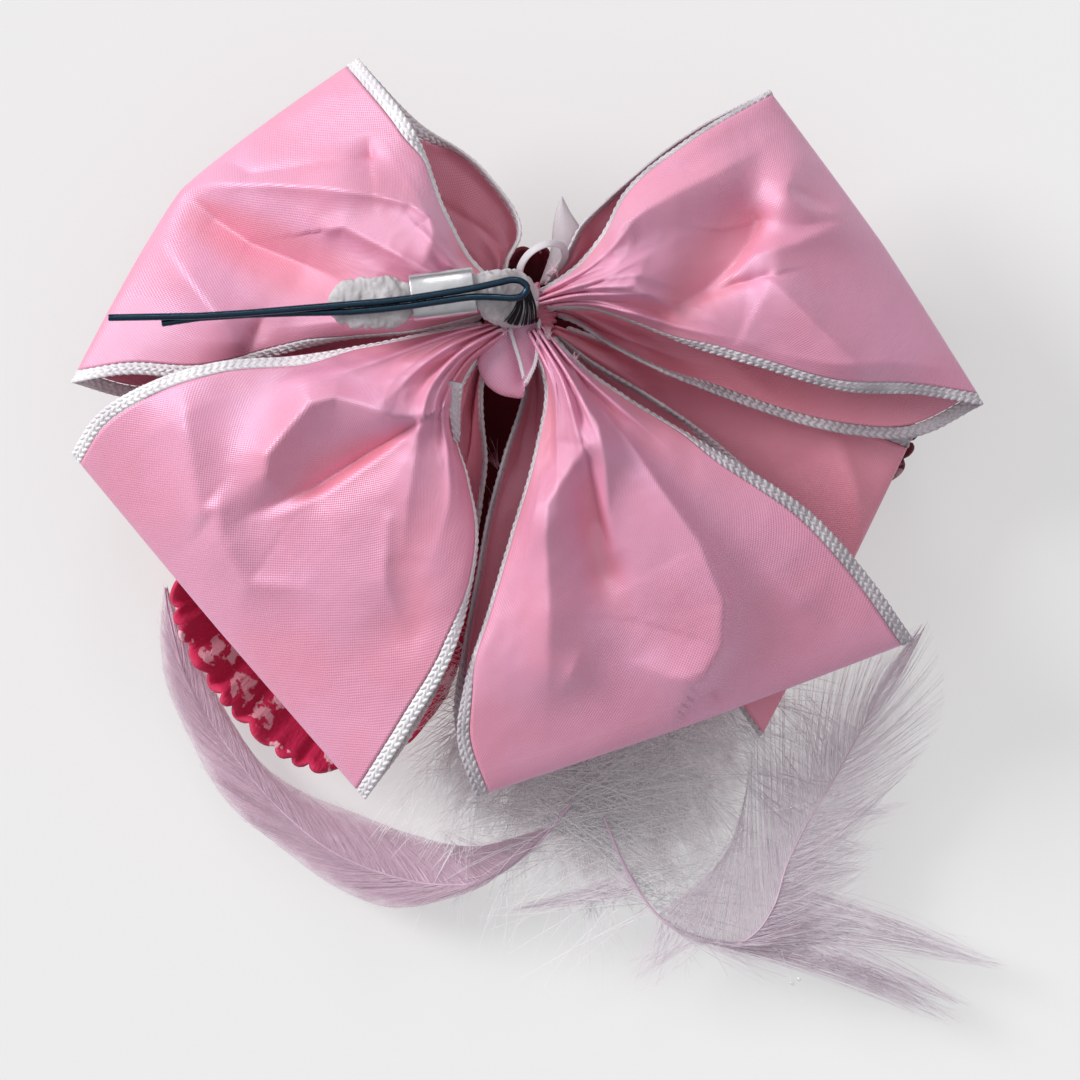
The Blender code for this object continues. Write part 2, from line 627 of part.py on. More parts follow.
def make_petal(petal, collection, crimson):
    """A cupped petal with a scalloped rim, flat where it lies."""
    surface = grid_mesh(petal.name, petal_surface(petal))
    draft = wall(add_object(petal.name + "_draft", surface, collection, crimson), PETAL_WALL)
    mesh = evaluated_mesh(draft)
    bpy.data.objects.remove(draft, do_unlink=True)
    for corner in mesh.vertices:
        if corner.co.z < REST_BAND:
            corner.co.z = 0.0
    return add_object(petal.name, mesh, collection, crimson)


def make_backing(collection, crimson):
    """The round backing between the flower and the bow."""
    mesh = bpy.data.meshes.new("flower_base")
    disc = bmesh.new()
    bmesh.ops.create_cone(disc, cap_ends=True, segments=BACKING_SIDES, radius1=BACKING_RADIUS, 
                          radius2=BACKING_RADIUS, depth=BACKING_WALL)
    disc_middle = place(FLOWER_ACROSS, FLOWER_DOWN) + np.array([0.0, 0.0, BACKING_HEIGHT + BACKING_WALL / 2])
    bmesh.ops.translate(disc, vec=disc_middle, verts=disc.verts)
    disc.to_mesh(mesh)
    disc.free()
    return add_object("flower_base", mesh, collection, crimson)


def band_surface(rows):
    """A feather's middle surface through rows of its two edges, raised along its quill."""
    grid = []
    for outer_across, outer_down, inner_across, inner_down, height in rows:
        outer = place(outer_across, outer_down, height)
        inner = place(inner_across, inner_down, height)
        quill = (outer + inner) / 2
        quill[2] += VANE_CROWN * min(1.0, np.linalg.norm(inner - outer) / VANE_FULL_WIDTH)
        grid.append([outer, quill, inner])
    return np.array(grid)


def wisp_surface(row):
    """A loose point of the feather, from its start to its tip."""
    across, down, tip_across, tip_down, half, height, tip_height = row
    start = place(across, down, height)
    run = place(tip_across, tip_down, tip_height) - start
    side = np.array([-run[1], run[0], 0.0]) / np.linalg.norm(run[:2]) * half * STEP
    grid = []
    for share in WISP_SHARES:
        narrow = max(1.0 - share**1.5, WISP_TIP_SHARE)
        grid.append([start + run * share + side * narrow * s for s in (-1, 0, 1)])
    return np.array(grid)


def make_feather(name, rows, wisps, collection, down):
    """A feather: its curled band, and its loose points joined to it."""
    feather = wall(add_object(name, grid_mesh(name, band_surface(rows)), collection, down), VANE_WALL)
    for k, row in enumerate(wisps):
        draft = add_object(f"{name}_wisp_{k}", grid_mesh(name, wisp_surface(row)), collection, down)
        wall(draft, VANE_WALL)
        join = feather.modifiers.new(f"Wisp {k}", "BOOLEAN")
        join.operation = "UNION"
        join.object = draft
    mesh = evaluated_mesh(feather)
    for thing in [o for o in collection.objects if o.name.startswith(name)]:
        bpy.data.objects.remove(thing, do_unlink=True)
    return add_object(name, mesh, collection, down)


def make_down(collection, down):
    """The tuft of down: a fan of locks from one root, higher at the root than at the tips."""
    middle = place(DOWN_ACROSS, DOWN_DOWN)
    locks = np.array(DOWN_LOCKS, float)
    count = 2 * len(DOWN_LOCKS) - 1
    grid = []
    for share in DOWN_SHARES:
        row = []
        for k in range(count):
            angle, reach = (np.interp(k / 2, range(len(locks)), locks[:, c]) for c in (0, 1))
            reach *= 1.0 if k % 2 == 0 else 1.0 - DOWN_NOTCH * share
            height = DOWN_ROOT_HEIGHT - (DOWN_ROOT_HEIGHT - DOWN_TIP_HEIGHT) * share**DOWN_DROOP
            out = reach * share * MM
            turn = math.radians(angle)
            row.append(middle + np.array([math.cos(turn) * out, math.sin(turn) * out, height * MM]))
        grid.append(row)
    return wall(add_object("down_tuft", grid_mesh("down_tuft", np.array(grid)), collection, down), DOWN_WALL)


def main():
    """Builds every piece."""
    clear_scene()
    collection = bpy.data.collections.new("hair_bow")
    bpy.context.scene.collection.children.link(collection)
    ribbon = finish("pink ribbon", (0.80, 0.36, 0.50), 0.45)
    braid = finish("white braid", (0.86, 0.85, 0.85), 0.5)
    thread = finish("binding thread", (0.72, 0.30, 0.42), 0.8)
    paper = finish("paper tape", (0.72, 0.70, 0.71), 0.85)
    steel = finish("polished steel", (0.62, 0.62, 0.62), 0.18, 1.0)
    black = finish("black pin", (0.012, 0.012, 0.016), 0.25)
    tape = finish("white tape", (0.74, 0.70, 0.74), 0.6)
    crimson = finish("crimson cloth", (0.46, 0.012, 0.06), 0.7)
    down = finish("lilac down", (0.60, 0.48, 0.56), 0.7)
    for loop in LOOPS:
        make_loop(loop, collection, ribbon, braid)
    make_knot(collection, thread)
    make_pad("centre_tab", TAB_MIDDLE, TAB_HALF, collection, ribbon)
    make_stem(collection, paper)
    make_ferrule(collection, steel)
    make_pin(collection, black)
    make_tape(collection, tape)
    for petal in PETALS:
        make_petal(petal, collection, crimson)
    make_backing(collection, crimson)
    make_pad("flower_heart", (FLOWER_ACROSS, FLOWER_DOWN, HEART_HEIGHT), HEART_HALF, collection, crimson)
    make_feather("feather_left", FEATHER_LEFT, [], collection, down)
    make_feather("feather_right", FEATHER_RIGHT, WISPS, collection, down)
    make_down(collection, down)


main()
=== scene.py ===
"""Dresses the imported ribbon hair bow, which lies on its flowered front and is seen from straight above.

Tables give places in steps across and down a square of 1080 steps that is centred on the origin, and
heights in millimetres above the floor, as the source of the solids does.
"""

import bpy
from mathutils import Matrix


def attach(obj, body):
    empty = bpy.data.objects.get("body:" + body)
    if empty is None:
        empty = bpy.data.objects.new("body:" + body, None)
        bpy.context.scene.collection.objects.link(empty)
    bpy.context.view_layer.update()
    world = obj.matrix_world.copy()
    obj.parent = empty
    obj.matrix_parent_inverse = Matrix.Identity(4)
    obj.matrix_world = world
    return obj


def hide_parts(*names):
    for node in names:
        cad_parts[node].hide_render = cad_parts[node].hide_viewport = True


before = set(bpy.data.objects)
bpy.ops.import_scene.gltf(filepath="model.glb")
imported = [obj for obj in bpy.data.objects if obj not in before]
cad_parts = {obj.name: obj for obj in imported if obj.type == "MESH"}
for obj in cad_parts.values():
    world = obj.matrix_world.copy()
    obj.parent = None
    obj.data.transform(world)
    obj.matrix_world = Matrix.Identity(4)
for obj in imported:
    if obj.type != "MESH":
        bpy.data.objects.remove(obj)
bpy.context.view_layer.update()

import logging
import math
from dataclasses import dataclass, field, replace
from enum import Enum
from typing import NamedTuple

import bpy
import numpy as np
from mathutils import Vector, noise

LOG = logging.getLogger("hair_bow")
STEP = 0.000136
MIDDLE = 540.0
MM = 0.001
TAU = 2 * math.pi
Array = np.ndarray
Thing = bpy.types.Object
Socket = bpy.types.NodeSocket
Inputs = bpy.types.bpy_prop_collection


class Slot(Enum):
    """Material slots of the record."""

    RIBBON = "ribbon"
    BRAID = "braid"
    THREAD = "thread"
    PAPER = "paper_tape"
    STEEL = "steel"
    PIN = "pin"
    TAPE = "tape"
    CRIMSON = "crimson"
    FEATHER = "feather"


class Layer(Enum):
    """The two layers of a folded loop."""

    OVER = "over"
    UNDER = "under"


# ---- shapes


def place(rows: Array) -> Array:
    """Turns places in the tables into metres.

    Args:
        rows: Across, down and height in the last axis.

    Returns:
        The same places as x, y and z in metres.
    """
    rows = np.asarray(rows, float)
    return np.stack(
        [(rows[..., 0] - MIDDLE) * STEP, (MIDDLE - rows[..., 1]) * STEP, rows[..., 2] * MM], axis=-1
    )


def spline(rows: list, share: Array) -> Array:
    """Samples a smooth curve through rows of numbers.

    Args:
        rows: Rows whose first two numbers are a place across and down.
        share: Where to sample, from 0 at the first row to 1 at the last.

    Returns:
        A row for each share.
    """
    points = np.array(rows, float)
    lengths = np.linalg.norm(np.diff(points[:, :2], axis=0), axis=1)
    knots = np.concatenate([[0.0], np.cumsum(lengths)])
    knots /= knots[-1]
    slopes = np.gradient(points, knots, axis=0)
    share = np.clip(np.atleast_1d(share), 0.0, 1.0)
    cell = np.clip(np.searchsorted(knots, share, side="right") - 1, 0, len(knots) - 2)
    span = (knots[cell + 1] - knots[cell])[:, None]
    t = ((share - knots[cell])[:, None]) / span
    return (
        (2 * t**3 - 3 * t**2 + 1) * points[cell]
        + (t**3 - 2 * t**2 + t) * span * slopes[cell]
        + (3 * t**2 - 2 * t**3) * points[cell + 1]
        + (t**3 - t**2) * span * slopes[cell + 1]
    )


def even(count: int) -> Array:
    """Evenly spaced shares from 0 to 1."""
    return np.linspace(0.0, 1.0, count)


def unit(vectors: Array) -> Array:
    """Scales vectors in the last axis to length 1."""
    return vectors / np.maximum(np.linalg.norm(vectors, axis=-1, keepdims=True), 1e-12)


def along_rows(grid: Array) -> Array:
    """Unit directions from each row of a grid of points to the next."""
    return unit(np.gradient(grid, axis=0))


def new_object(name: str, verts: Array, faces: list, edges: list = ()) -> Thing:
    """Makes a smooth mesh object at the origin.

    Args:
        name: The piece's name.
        verts: Points in metres.
        faces: Corner numbers of each face.
        edges: Corner numbers of each loose edge.

    Returns:
        The object, in the scene.
    """
    mesh = bpy.data.meshes.new(name)
    mesh.from_pydata([tuple(v) for v in np.asarray(verts).reshape(-1, 3)], list(edges), faces)
    mesh.shade_smooth()
    thing = bpy.data.objects.new(name, mesh)
    bpy.context.scene.collection.objects.link(thing)
    return thing


def grid_faces(rows: int, columns: int, ring: bool = False, loop: bool = False) -> list:
    """Lists the quads of a grid of points.

    Args:
        rows: Number of rows.
        columns: Number of columns.
        ring: Whether the last column joins the first.
        loop: Whether the last row joins the first.

    Returns:
        Four corner numbers for each face.
    """
    faces = []
    for i in range(rows if loop else rows - 1):
        for j in range(columns if ring else columns - 1):
            k, m = (j + 1) % columns, (i + 1) % rows
            faces.append((i * columns + j, i * columns + k, m * columns + k, m * columns + j))
    return faces


def capped_faces(rows: int, sides: int, turned: bool = True) -> list:
    """Lists the faces of rings of points that are closed at both ends.

    Args:
        rows: Number of rings.
        sides: Points of a ring.
        turned: Whether the faces are turned round.

    Returns:
        The corner numbers of each face.
    """
    faces = grid_faces(rows, sides, ring=True)
    faces += [tuple(range(sides))[::-1], tuple(range((rows - 1) * sides, rows * sides))]
    return [face[::-1] for face in faces] if turned else faces


def set_uv(thing: Thing, uv: Array) -> None:
    """Gives a mesh a UV map named cloth.

    Args:
        thing: The object.
        uv: A pair for each corner point, in metres along the cloth.
    """
    mesh = thing.data
    layer = mesh.uv_layers.new(name="cloth")
    corners = np.empty(len(mesh.loops), int)
    mesh.loops.foreach_get("vertex_index", corners)
    layer.data.foreach_set("uv", np.asarray(uv, float).reshape(-1, 2)[corners].ravel())


def set_attribute(thing: Thing, name: str, kind: str, values: Array) -> None:
    """Stores a named value on each point of a mesh.

    Args:
        thing: The object.
        name: The attribute's name.
        kind: FLOAT, BOOLEAN or FLOAT_VECTOR.
        values: One value or vector for each point.
    """
    layer = thing.data.attributes.new(name, kind, "POINT")
    layer.data.foreach_set("vector" if kind == "FLOAT_VECTOR" else "value", np.asarray(values).ravel())


def baked(thing: Thing) -> Thing:
    """Turns an object and its modifiers into a plain mesh.

    Args:
        thing: The object, which keeps its name.

    Returns:
        The same object, with no modifiers.
    """
    graph = bpy.context.evaluated_depsgraph_get()
    mesh = bpy.data.meshes.new_from_object(thing.evaluated_get(graph))
    thing.modifiers.clear()
    thing.data = mesh
    mesh.name = thing.name
    return thing


def thicken(thing: Thing, wall: float) -> Thing:
    """Gives an open surface a wall, half to each side, and bakes it.

    Args:
        thing: The object.
        wall: Thickness in metres.

    Returns:
        The same object.
    """
    solidify = thing.modifiers.new("Wall", "SOLIDIFY")
    solidify.thickness = wall
    solidify.offset = 0.0
    return baked(thing)


def register(thing: Thing, slot: Slot, *nodes: str) -> Thing:
    """Ties a finished piece to the frame and reports it.

    Args:
        thing: The finished piece.
        slot: The record's slot of its finish. It is not used.
        nodes: Solids that it stands for.

    Returns:
        The same piece.
    """
    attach(thing, "root")
    if nodes:
        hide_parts(*nodes)
    LOG.info("%s: %d faces", thing.name, len(thing.data.polygons))
    return thing


# ---- node trees


class Num:
    """A number in a shader tree that takes part in Python expressions."""

    def __init__(self, graph: "Graph", socket: Socket) -> None:
        """Wraps a socket of a graph."""
        self.graph = graph
        self.socket = socket

    def math(self, operation: str, *values: object) -> "Num":
        """Adds a Math node.

        Args:
            operation: Its operation.
            values: Its inputs in order, wrapped numbers or plain ones.

        Returns:
            Its result.
        """
        node = self.graph.add("ShaderNodeMath", {"operation": operation}, dict(enumerate(values)))
        return Num(self.graph, node.outputs[0])

    def __add__(self, other: object) -> "Num":
        """The sum."""
        return self.math("ADD", self, other)

    __radd__ = __add__

    def __sub__(self, other: object) -> "Num":
        """The difference."""
        return self.math("SUBTRACT", self, other)

    def __rsub__(self, other: object) -> "Num":
        """The difference, turned round."""
        return self.math("SUBTRACT", other, self)

    def __mul__(self, other: object) -> "Num":
        """The product."""
        return self.math("MULTIPLY", self, other)

    __rmul__ = __mul__

    def __pow__(self, other: object) -> "Num":
        """The power."""
        return self.math("POWER", self, other)

    def sin(self) -> "Num":
        """The sine."""
        return self.math("SINE", self)

    def cos(self) -> "Num":
        """The cosine."""
        return self.math("COSINE", self)

    def size(self) -> "Num":
        """The absolute value."""
        return self.math("ABSOLUTE", self)

    def ramp(self, low: float, high: float) -> "Num":
        """Rises smoothly from 0 to 1.

        Args:
            low: Where it is 0.
            high: Where it is 1.

        Returns:
            The smooth step.
        """
        node = self.graph.add("ShaderNodeMapRange", {"interpolation_type": "SMOOTHSTEP"},
                              {0: self, 1: low, 2: high, 3: 0.0, 4: 1.0})
        return Num(self.graph, node.outputs[0])


class Graph:
    """Builds the nodes of a material or of a geometry tree."""

    def __init__(self, tree: bpy.types.NodeTree) -> None:
        """Works on a node tree."""
        self.tree = tree

    def add(self, kind: str, settings: dict | None = None, sockets: dict | None = None) -> bpy.types.Node:
        """Adds one node.

        Args:
            kind: The node's type.
            settings: Its settings, which are set first.
            sockets: A value or a link for each of its inputs, by name or number.

        Returns:
            The node.
        """
        node = self.tree.nodes.new(kind)
        for key, value in (settings or {}).items():
            setattr(node, key, value)
        for key, value in (sockets or {}).items():
            source = value.socket if isinstance(value, Num) else value
            if isinstance(source, Socket):
                self.tree.links.new(source, node.inputs[key])
            else:
                node.inputs[key].default_value = source
        return node

    def point(self, stretch: tuple = (1.0, 1.0, 1.0)) -> Socket:
        """The place on the object in metres, scaled by stretch."""
        source = self.add("ShaderNodeTexCoord").outputs["Object"]
        return self.add("ShaderNodeMapping", {}, {"Vector": source, "Scale": stretch}).outputs[0]

    def cloth(self, stretch: tuple = (1.0, 1.0, 1.0)) -> Socket:
        """The place on the cloth in metres, scaled by stretch."""
        source = self.add("ShaderNodeUVMap", {"uv_map": "cloth"}).outputs[0]
        return self.add("ShaderNodeMapping", {}, {"Vector": source, "Scale": stretch}).outputs[0]

    def stored(self, name: str) -> Num:
        """The number stored on the mesh under a name."""
        return Num(self, self.add("ShaderNodeAttribute", {"attribute_name": name}).outputs["Fac"])

    def parts(self, vector: Socket) -> tuple:
        """The three numbers of a vector."""
        node = self.add("ShaderNodeSeparateXYZ", {}, {0: vector})
        return tuple(Num(self, socket) for socket in node.outputs)

    def noise(self, vector: Socket, scale: float, detail: float = 3.0) -> Num:
        """Smooth noise.

        Args:
            vector: Where it is read.
            scale: Its features to a metre.
            detail: Its octaves.

        Returns:
            The noise, about 0.5.
        """
        node = self.add("ShaderNodeTexNoise", {}, {"Vector": vector, "Scale": scale, "Detail": detail})
        return Num(self, node.outputs[0])

    def blend(self, factor: object, first: object, second: object) -> Socket:
        """Mixes two colours.

        Args:
            factor: The share of the second.
            first: A colour.
            second: A colour.

        Returns:
            The mixed colour.
        """
        node = self.add("ShaderNodeMix", {"data_type": "RGBA"}, {0: factor, 6: first, 7: second})
        return node.outputs[2]

    def bump(self, height: Num, depth: float) -> Socket:
        """A normal from a height.

        Args:
            height: The height, from 0 to 1.
            depth: What 1 stands for in metres.

        Returns:
            The normal.
        """
        return self.add("ShaderNodeBump", {}, {"Height": height, "Distance": depth}).outputs[0]


@dataclass(frozen=True)
class Finish:
    """A finish: one Principled material, with plain sockets set from its fields."""

    name: str
    colour: tuple
    second: tuple
    roughness: float = 0.5
    metallic: float = 0.0
    sheen: float = 0.0
    sheen_tint: tuple = (1.0, 1.0, 1.0)
    specular: float = 0.5
    specular_tint: tuple = (1.0, 1.0, 1.0)
    ior: float = 1.5
    transmission: float = 0.0
    glow: float = 0.0

    def material(self) -> bpy.types.Material:
        """Makes the finish's material the first time.

        Returns:
            The material.
        """
        made = bpy.data.materials.get(self.name)
        if made:
            return made
        made = bpy.data.materials.new(self.name)
        made.use_nodes = True
        shader = made.node_tree.nodes["Principled BSDF"]
        fixed = {"Roughness": self.roughness, "Metallic": self.metallic, "Sheen Weight": self.sheen,
                 "Sheen Tint": (*self.sheen_tint, 1.0), "Sheen Roughness": 0.4,
                 "Specular IOR Level": self.specular, "Specular Tint": (*self.specular_tint, 1.0),
                 "IOR": self.ior,
                 "Transmission Weight": self.transmission, "Emission Strength": self.glow}
        for key, value in fixed.items():
            shader.inputs[key].default_value = value
        self.paint(Graph(made.node_tree), shader.inputs)
        return made

    def paint(self, graph: Graph, sockets: Inputs) -> None:
        """Links what changes over the surface.

        Args:
            graph: The material's graph.
            sockets: The shader's inputs.
        """
        raise NotImplementedError

    def link(self, graph: Graph, sockets: Inputs, **values: object) -> None:
        """Links results to sockets of the shader, named with _ for a space.

        Args:
            graph: The material's graph.
            sockets: The shader's inputs.
            values: What each socket takes.
        """
        for key, value in values.items():
            source = value.socket if isinstance(value, Num) else value
            graph.tree.links.new(source, sockets[key.replace("_", " ")])

    def dress(self, thing: Thing) -> Thing:
        """Puts the finish on an object.

        Args:
            thing: The object.

        Returns:
            The same object.
        """
        thing.data.materials.clear()
        thing.data.materials.append(self.material())
        return thing


@dataclass(frozen=True)
class Taffeta(Finish):
    """Ribbon: a fine plain weave whose crossings shine lilac."""

    pitch: float = 0.48 * MM
    # Painted shade: a warm, saturated pink that stands in for the shade and bounced light inside the folds.
    painted_shade: tuple = (0.87, 0.23, 0.275)

    def paint(self, graph: Graph, sockets: Inputs) -> None:
        """Links the weave, its slubs, its cast of colour and its painted shade.

        Args:
            graph: The material's graph.
            sockets: The shader's inputs.
        """
        across, along, _ = graph.parts(graph.cloth())
        weave = (across * (TAU / self.pitch)).sin() * (along * (TAU / self.pitch)).sin()
        cast = graph.noise(graph.point(), 70.0, 2.0).ramp(0.3, 0.7)
        slub = graph.noise(graph.cloth((500.0, 60.0, 1.0)), 1.0, 2.0)
        tone = graph.blend(cast * 0.7 + weave * 0.28 + slub * 0.2, (*self.colour, 1), (*self.second, 1))
        # Painted shade: the colour turns toward that pink by the share stored on each point of the cloth.
        tone = graph.blend(graph.stored("painted_shade"), tone, (*self.painted_shade, 1))
        crumple = graph.noise(graph.point(), 260.0, 3.0)
        self.link(graph, sockets, Base_Color=tone, Roughness=weave * 0.06 + slub * 0.16 + self.roughness,
                  Normal=graph.bump(weave * 0.5 + slub * 0.8 + crumple * 3.0, 0.045 * MM))


@dataclass(frozen=True)
class Fibre(Finish):
    """Thread, braid, paper or down: short streaks of two tones."""

    grain: float = 2600.0
    streak: tuple = (1.0, 1.0, 1.0)
    depth: float = 0.05 * MM
    mottle: float = 140.0

    def paint(self, graph: Graph, sockets: Inputs) -> None:
        """Links fine streaks over slow mottling.

        Args:
            graph: The material's graph.
            sockets: The shader's inputs.
        """
        fine = graph.noise(graph.point(self.streak), self.grain, 3.0)
        slow = graph.noise(graph.point(), self.mottle, 3.0).ramp(0.35, 0.68)
        tone = graph.blend(fine * 0.55 + slow * 0.6, (*self.second, 1), (*self.colour, 1))
        self.link(graph, sockets, Base_Color=tone, Roughness=fine * 0.2 + self.roughness,
                  Normal=graph.bump(fine, self.depth))


@dataclass(frozen=True)
class Metal(Finish):
    """Rolled steel or coated wire: lengthwise scratches and soft smudges."""

    streak: tuple = (60.0, 900.0, 900.0)
    scratch: float = 0.12

    def paint(self, graph: Graph, sockets: Inputs) -> None:
        """Links the scratches and smudges.

        Args:
            graph: The material's graph.
            sockets: The shader's inputs.
        """
        lines = graph.noise(graph.point(self.streak), 9.0, 4.0)
        smudge = graph.noise(graph.point(), 420.0, 3.0).ramp(0.35, 0.7)
        tone = graph.blend(smudge * 0.7, (*self.colour, 1), (*self.second, 1))
        self.link(graph, sockets, Base_Color=tone, Normal=graph.bump(lines, 0.012 * MM),
                  Roughness=lines * self.scratch + smudge * 0.08 + self.roughness)


@dataclass(frozen=True)
class Blossoms(Finish):
    """Crepe printed with ragged pale blossoms on crimson."""

    petal: tuple = (0.80, 0.30, 0.40)
    cell: float = 5.2 * MM

    def paint(self, graph: Graph, sockets: Inputs) -> None:
        """Links the blossoms and the crepe.

        Args:
            graph: The material's graph.
            sockets: The shader's inputs.
        """
        cells = graph.add("ShaderNodeTexVoronoi", {"voronoi_dimensions": "2D"},
                          {"Vector": graph.cloth(), "Scale": 1.0 / self.cell, "Randomness": 1.0})
        home = graph.add("ShaderNodeVectorMath", {"operation": "SCALE"},
                         {0: cells.outputs["Position"], "Scale": self.cell})
        offset = graph.add("ShaderNodeVectorMath", {"operation": "SUBTRACT"},
                           {0: graph.cloth(), 1: home.outputs[0]})
        across, along, _ = graph.parts(offset.outputs[0])
        turn, grey, _ = graph.parts(cells.outputs["Color"])
        angle = across.math("ARCTAN2", along, across) + turn * TAU
        radius = Num(graph, cells.outputs["Distance"])
        lobes = (angle * 2.5).cos().size() ** 0.6 * 0.16 + 0.26
        ragged = graph.noise(graph.cloth(), 800.0, 6.0) * 1.5
        bloom = 1.0 - (radius + ragged - lobes).ramp(0.55, 0.68)
        crepe = graph.noise(graph.cloth((1.0, 0.4, 1.0)), 2600.0, 3.0)
        ground = graph.blend(crepe, (*self.second, 1), (*self.colour, 1))
        rays = (angle * 16.0).cos() * 0.5 + 0.5
        white = tuple(0.45 + 0.55 * part for part in self.petal)
        pale = graph.blend(grey * 0.3 + crepe * 0.4 + rays * 0.4, (*self.petal, 1), (*white, 1))
        tone = graph.blend(bloom, ground, pale)
        self.link(graph, sockets, Base_Color=tone, Normal=graph.bump(crepe + bloom * 0.4, 0.14 * MM))


@dataclass(frozen=True)
class Vane(Finish):
    """A feather's closed web: pale streaks along its barbs, thinner toward its edges."""

    thin: float = 0.5
    body: float = 1.0
    fade: float = 0.75
    rim: float = 0.8

    def paint(self, graph: Graph, sockets: Inputs) -> None:
        """Links the streaks, and the web's thinness.

        Args:
            graph: The material's graph.
            sockets: The shader's inputs.
        """
        out, _, _ = graph.parts(graph.cloth())
        lines = graph.noise(graph.cloth((26.0, 2600.0, 1.0)), 1.0, 4.0)
        broad = graph.noise(graph.cloth((10.0, 420.0, 1.0)), 1.0, 2.0)
        tone = graph.blend((lines + broad) * 0.5, (*self.second, 1), (*self.colour, 1))
        ragged = out + broad * 0.35
        cover = (1.0 - ragged.ramp(self.rim, 1.2) * self.fade) * (lines * (1.0 - self.thin) + self.thin) * self.body
        self.link(graph, sockets, Base_Color=tone, Alpha=cover, Normal=graph.bump(lines, 0.06 * MM))


@dataclass(frozen=True)
class Plain(Finish):
    """The floor or a bead: an even surface with the faintest grain."""

    def paint(self, graph: Graph, sockets: Inputs) -> None:
        """Links the faint grain.

        Args:
            graph: The material's graph.
            sockets: The shader's inputs.
        """
        grain = graph.noise(graph.point(), 900.0, 2.0)
        tone = graph.blend(grain, (*self.colour, 1), (*self.second, 1))
        self.link(graph, sockets, Base_Color=tone)
        sockets["Emission Color"].default_value = (1.0, 1.0, 1.0, 1.0)


RIBBON = Taffeta("pink taffeta", (0.82, 0.29, 0.41), (0.84, 0.35, 0.52), roughness=0.38, sheen=0.08,
                 sheen_tint=(0.8, 0.8, 1.0), specular=0.85, specular_tint=(0.58, 0.75, 1.0), ior=1.9)
TAB_RIBBON = replace(RIBBON, name="shaded taffeta", colour=(0.62, 0.22, 0.31), second=(0.68, 0.28, 0.40))
BRAID = Fibre("white braid", (0.93, 0.92, 0.94), (0.64, 0.61, 0.65), roughness=0.35, sheen=0.2,
              grain=4200.0, mottle=150.0)
# Painted shade: a darker copy of the white braid, used on the right and rear loops, the tab's cords and the flared
# braid end.
SHADED_BRAID = replace(BRAID, name="shaded white braid", colour=(0.66, 0.62, 0.66), second=(0.36, 0.32, 0.36))
PAPER = Fibre("crumpled paper tape", (0.62, 0.60, 0.62), (0.40, 0.38, 0.40), roughness=0.75, grain=1900.0,
              mottle=330.0, depth=0.12 * MM)
STEEL = Metal("polished steel", (0.68, 0.68, 0.70), (0.45, 0.45, 0.47), roughness=0.24, metallic=1.0)
ENAMEL = Metal("black enamel", (0.003, 0.003, 0.005), (0.005, 0.005, 0.008), roughness=0.2, specular=0.9,
               specular_tint=(0.3, 0.65, 1.0), scratch=0.05)
DARK_THREAD = Fibre("dark thread", (0.004, 0.004, 0.007), (0.012, 0.012, 0.018), roughness=0.5, grain=5000.0,
                    specular=0.2)
TAPE = Fibre("pale tape", (0.68, 0.66, 0.69), (0.50, 0.48, 0.51), roughness=0.6, sheen=0.2, grain=3200.0)
CRIMSON = Blossoms("crimson crepe", (0.66, 0.014, 0.10), (0.46, 0.006, 0.055), roughness=0.7, sheen=0.1)
# Painted shade: the same crimson crepe made dark for the petals that lie in shade under the loops.
SHADED_CRIMSON = Blossoms("shaded crimson crepe", (0.16, 0.004, 0.022), (0.09, 0.002, 0.012), roughness=0.7,
                        petal=(0.30, 0.07, 0.12))
FELT = Fibre("dark felt", (0.14, 0.014, 0.024), (0.07, 0.006, 0.012), roughness=0.95, grain=3000.0)
PINK_WEB = Vane("pink feather web", (0.78, 0.58, 0.70), (0.62, 0.44, 0.55), roughness=0.5, sheen=0.15, thin=0.75)
WHITE_WEB = Vane("white feather web", (0.76, 0.69, 0.75), (0.52, 0.43, 0.50), roughness=0.5, sheen=0.2,
                 thin=0.05, body=0.42, fade=1.0, rim=0.3)
# Painted shadow: the finest down as a thin streaked mat, in a dark grey-mauve that stands in for the shadow under the
# bow and the tuft.
HAZE_AND_SHADOW = Vane("down haze and painted shadow", (0.66, 0.54, 0.62), (0.42, 0.32, 0.38), roughness=0.9, thin=0.4, body=0.66, fade=1.0)
PINK_BARB = Fibre("pink barbs", (0.80, 0.62, 0.73), (0.68, 0.50, 0.61), roughness=0.5, sheen=0.1, grain=900.0)
WHITE_BARB = Fibre("white barbs", (0.88, 0.80, 0.87), (0.56, 0.43, 0.53), roughness=0.5, sheen=0.3, grain=500.0,
                   mottle=60.0)
DOWN_HAIR = Fibre("down hairs", (0.97, 0.96, 0.98), (0.88, 0.84, 0.88), roughness=0.5, sheen=0.4, grain=900.0)
QUILL = Fibre("feather quill", (0.72, 0.52, 0.66), (0.50, 0.34, 0.46), roughness=0.35, grain=1400.0)
# Painted shade: the gathered ribbon's pink made darker for the hollow between the loops.
SHADED_ROOTS = Fibre("shaded bound roots", (0.72, 0.24, 0.34), (0.46, 0.10, 0.15), roughness=0.6, grain=2200.0,
              depth=0.1 * MM)
FRAY = Fibre("frayed threads", (0.88, 0.70, 0.78), (0.74, 0.40, 0.52), roughness=0.5, grain=3000.0)
BEAD = Plain("clear bead", (0.97, 0.97, 0.98), (0.90, 0.90, 0.92), roughness=0.05, transmission=0.85)
GROUND = Plain("pale ground", (0.38, 0.38, 0.38), (0.375, 0.375, 0.375), roughness=0.95, specular=0.1, glow=0.465)


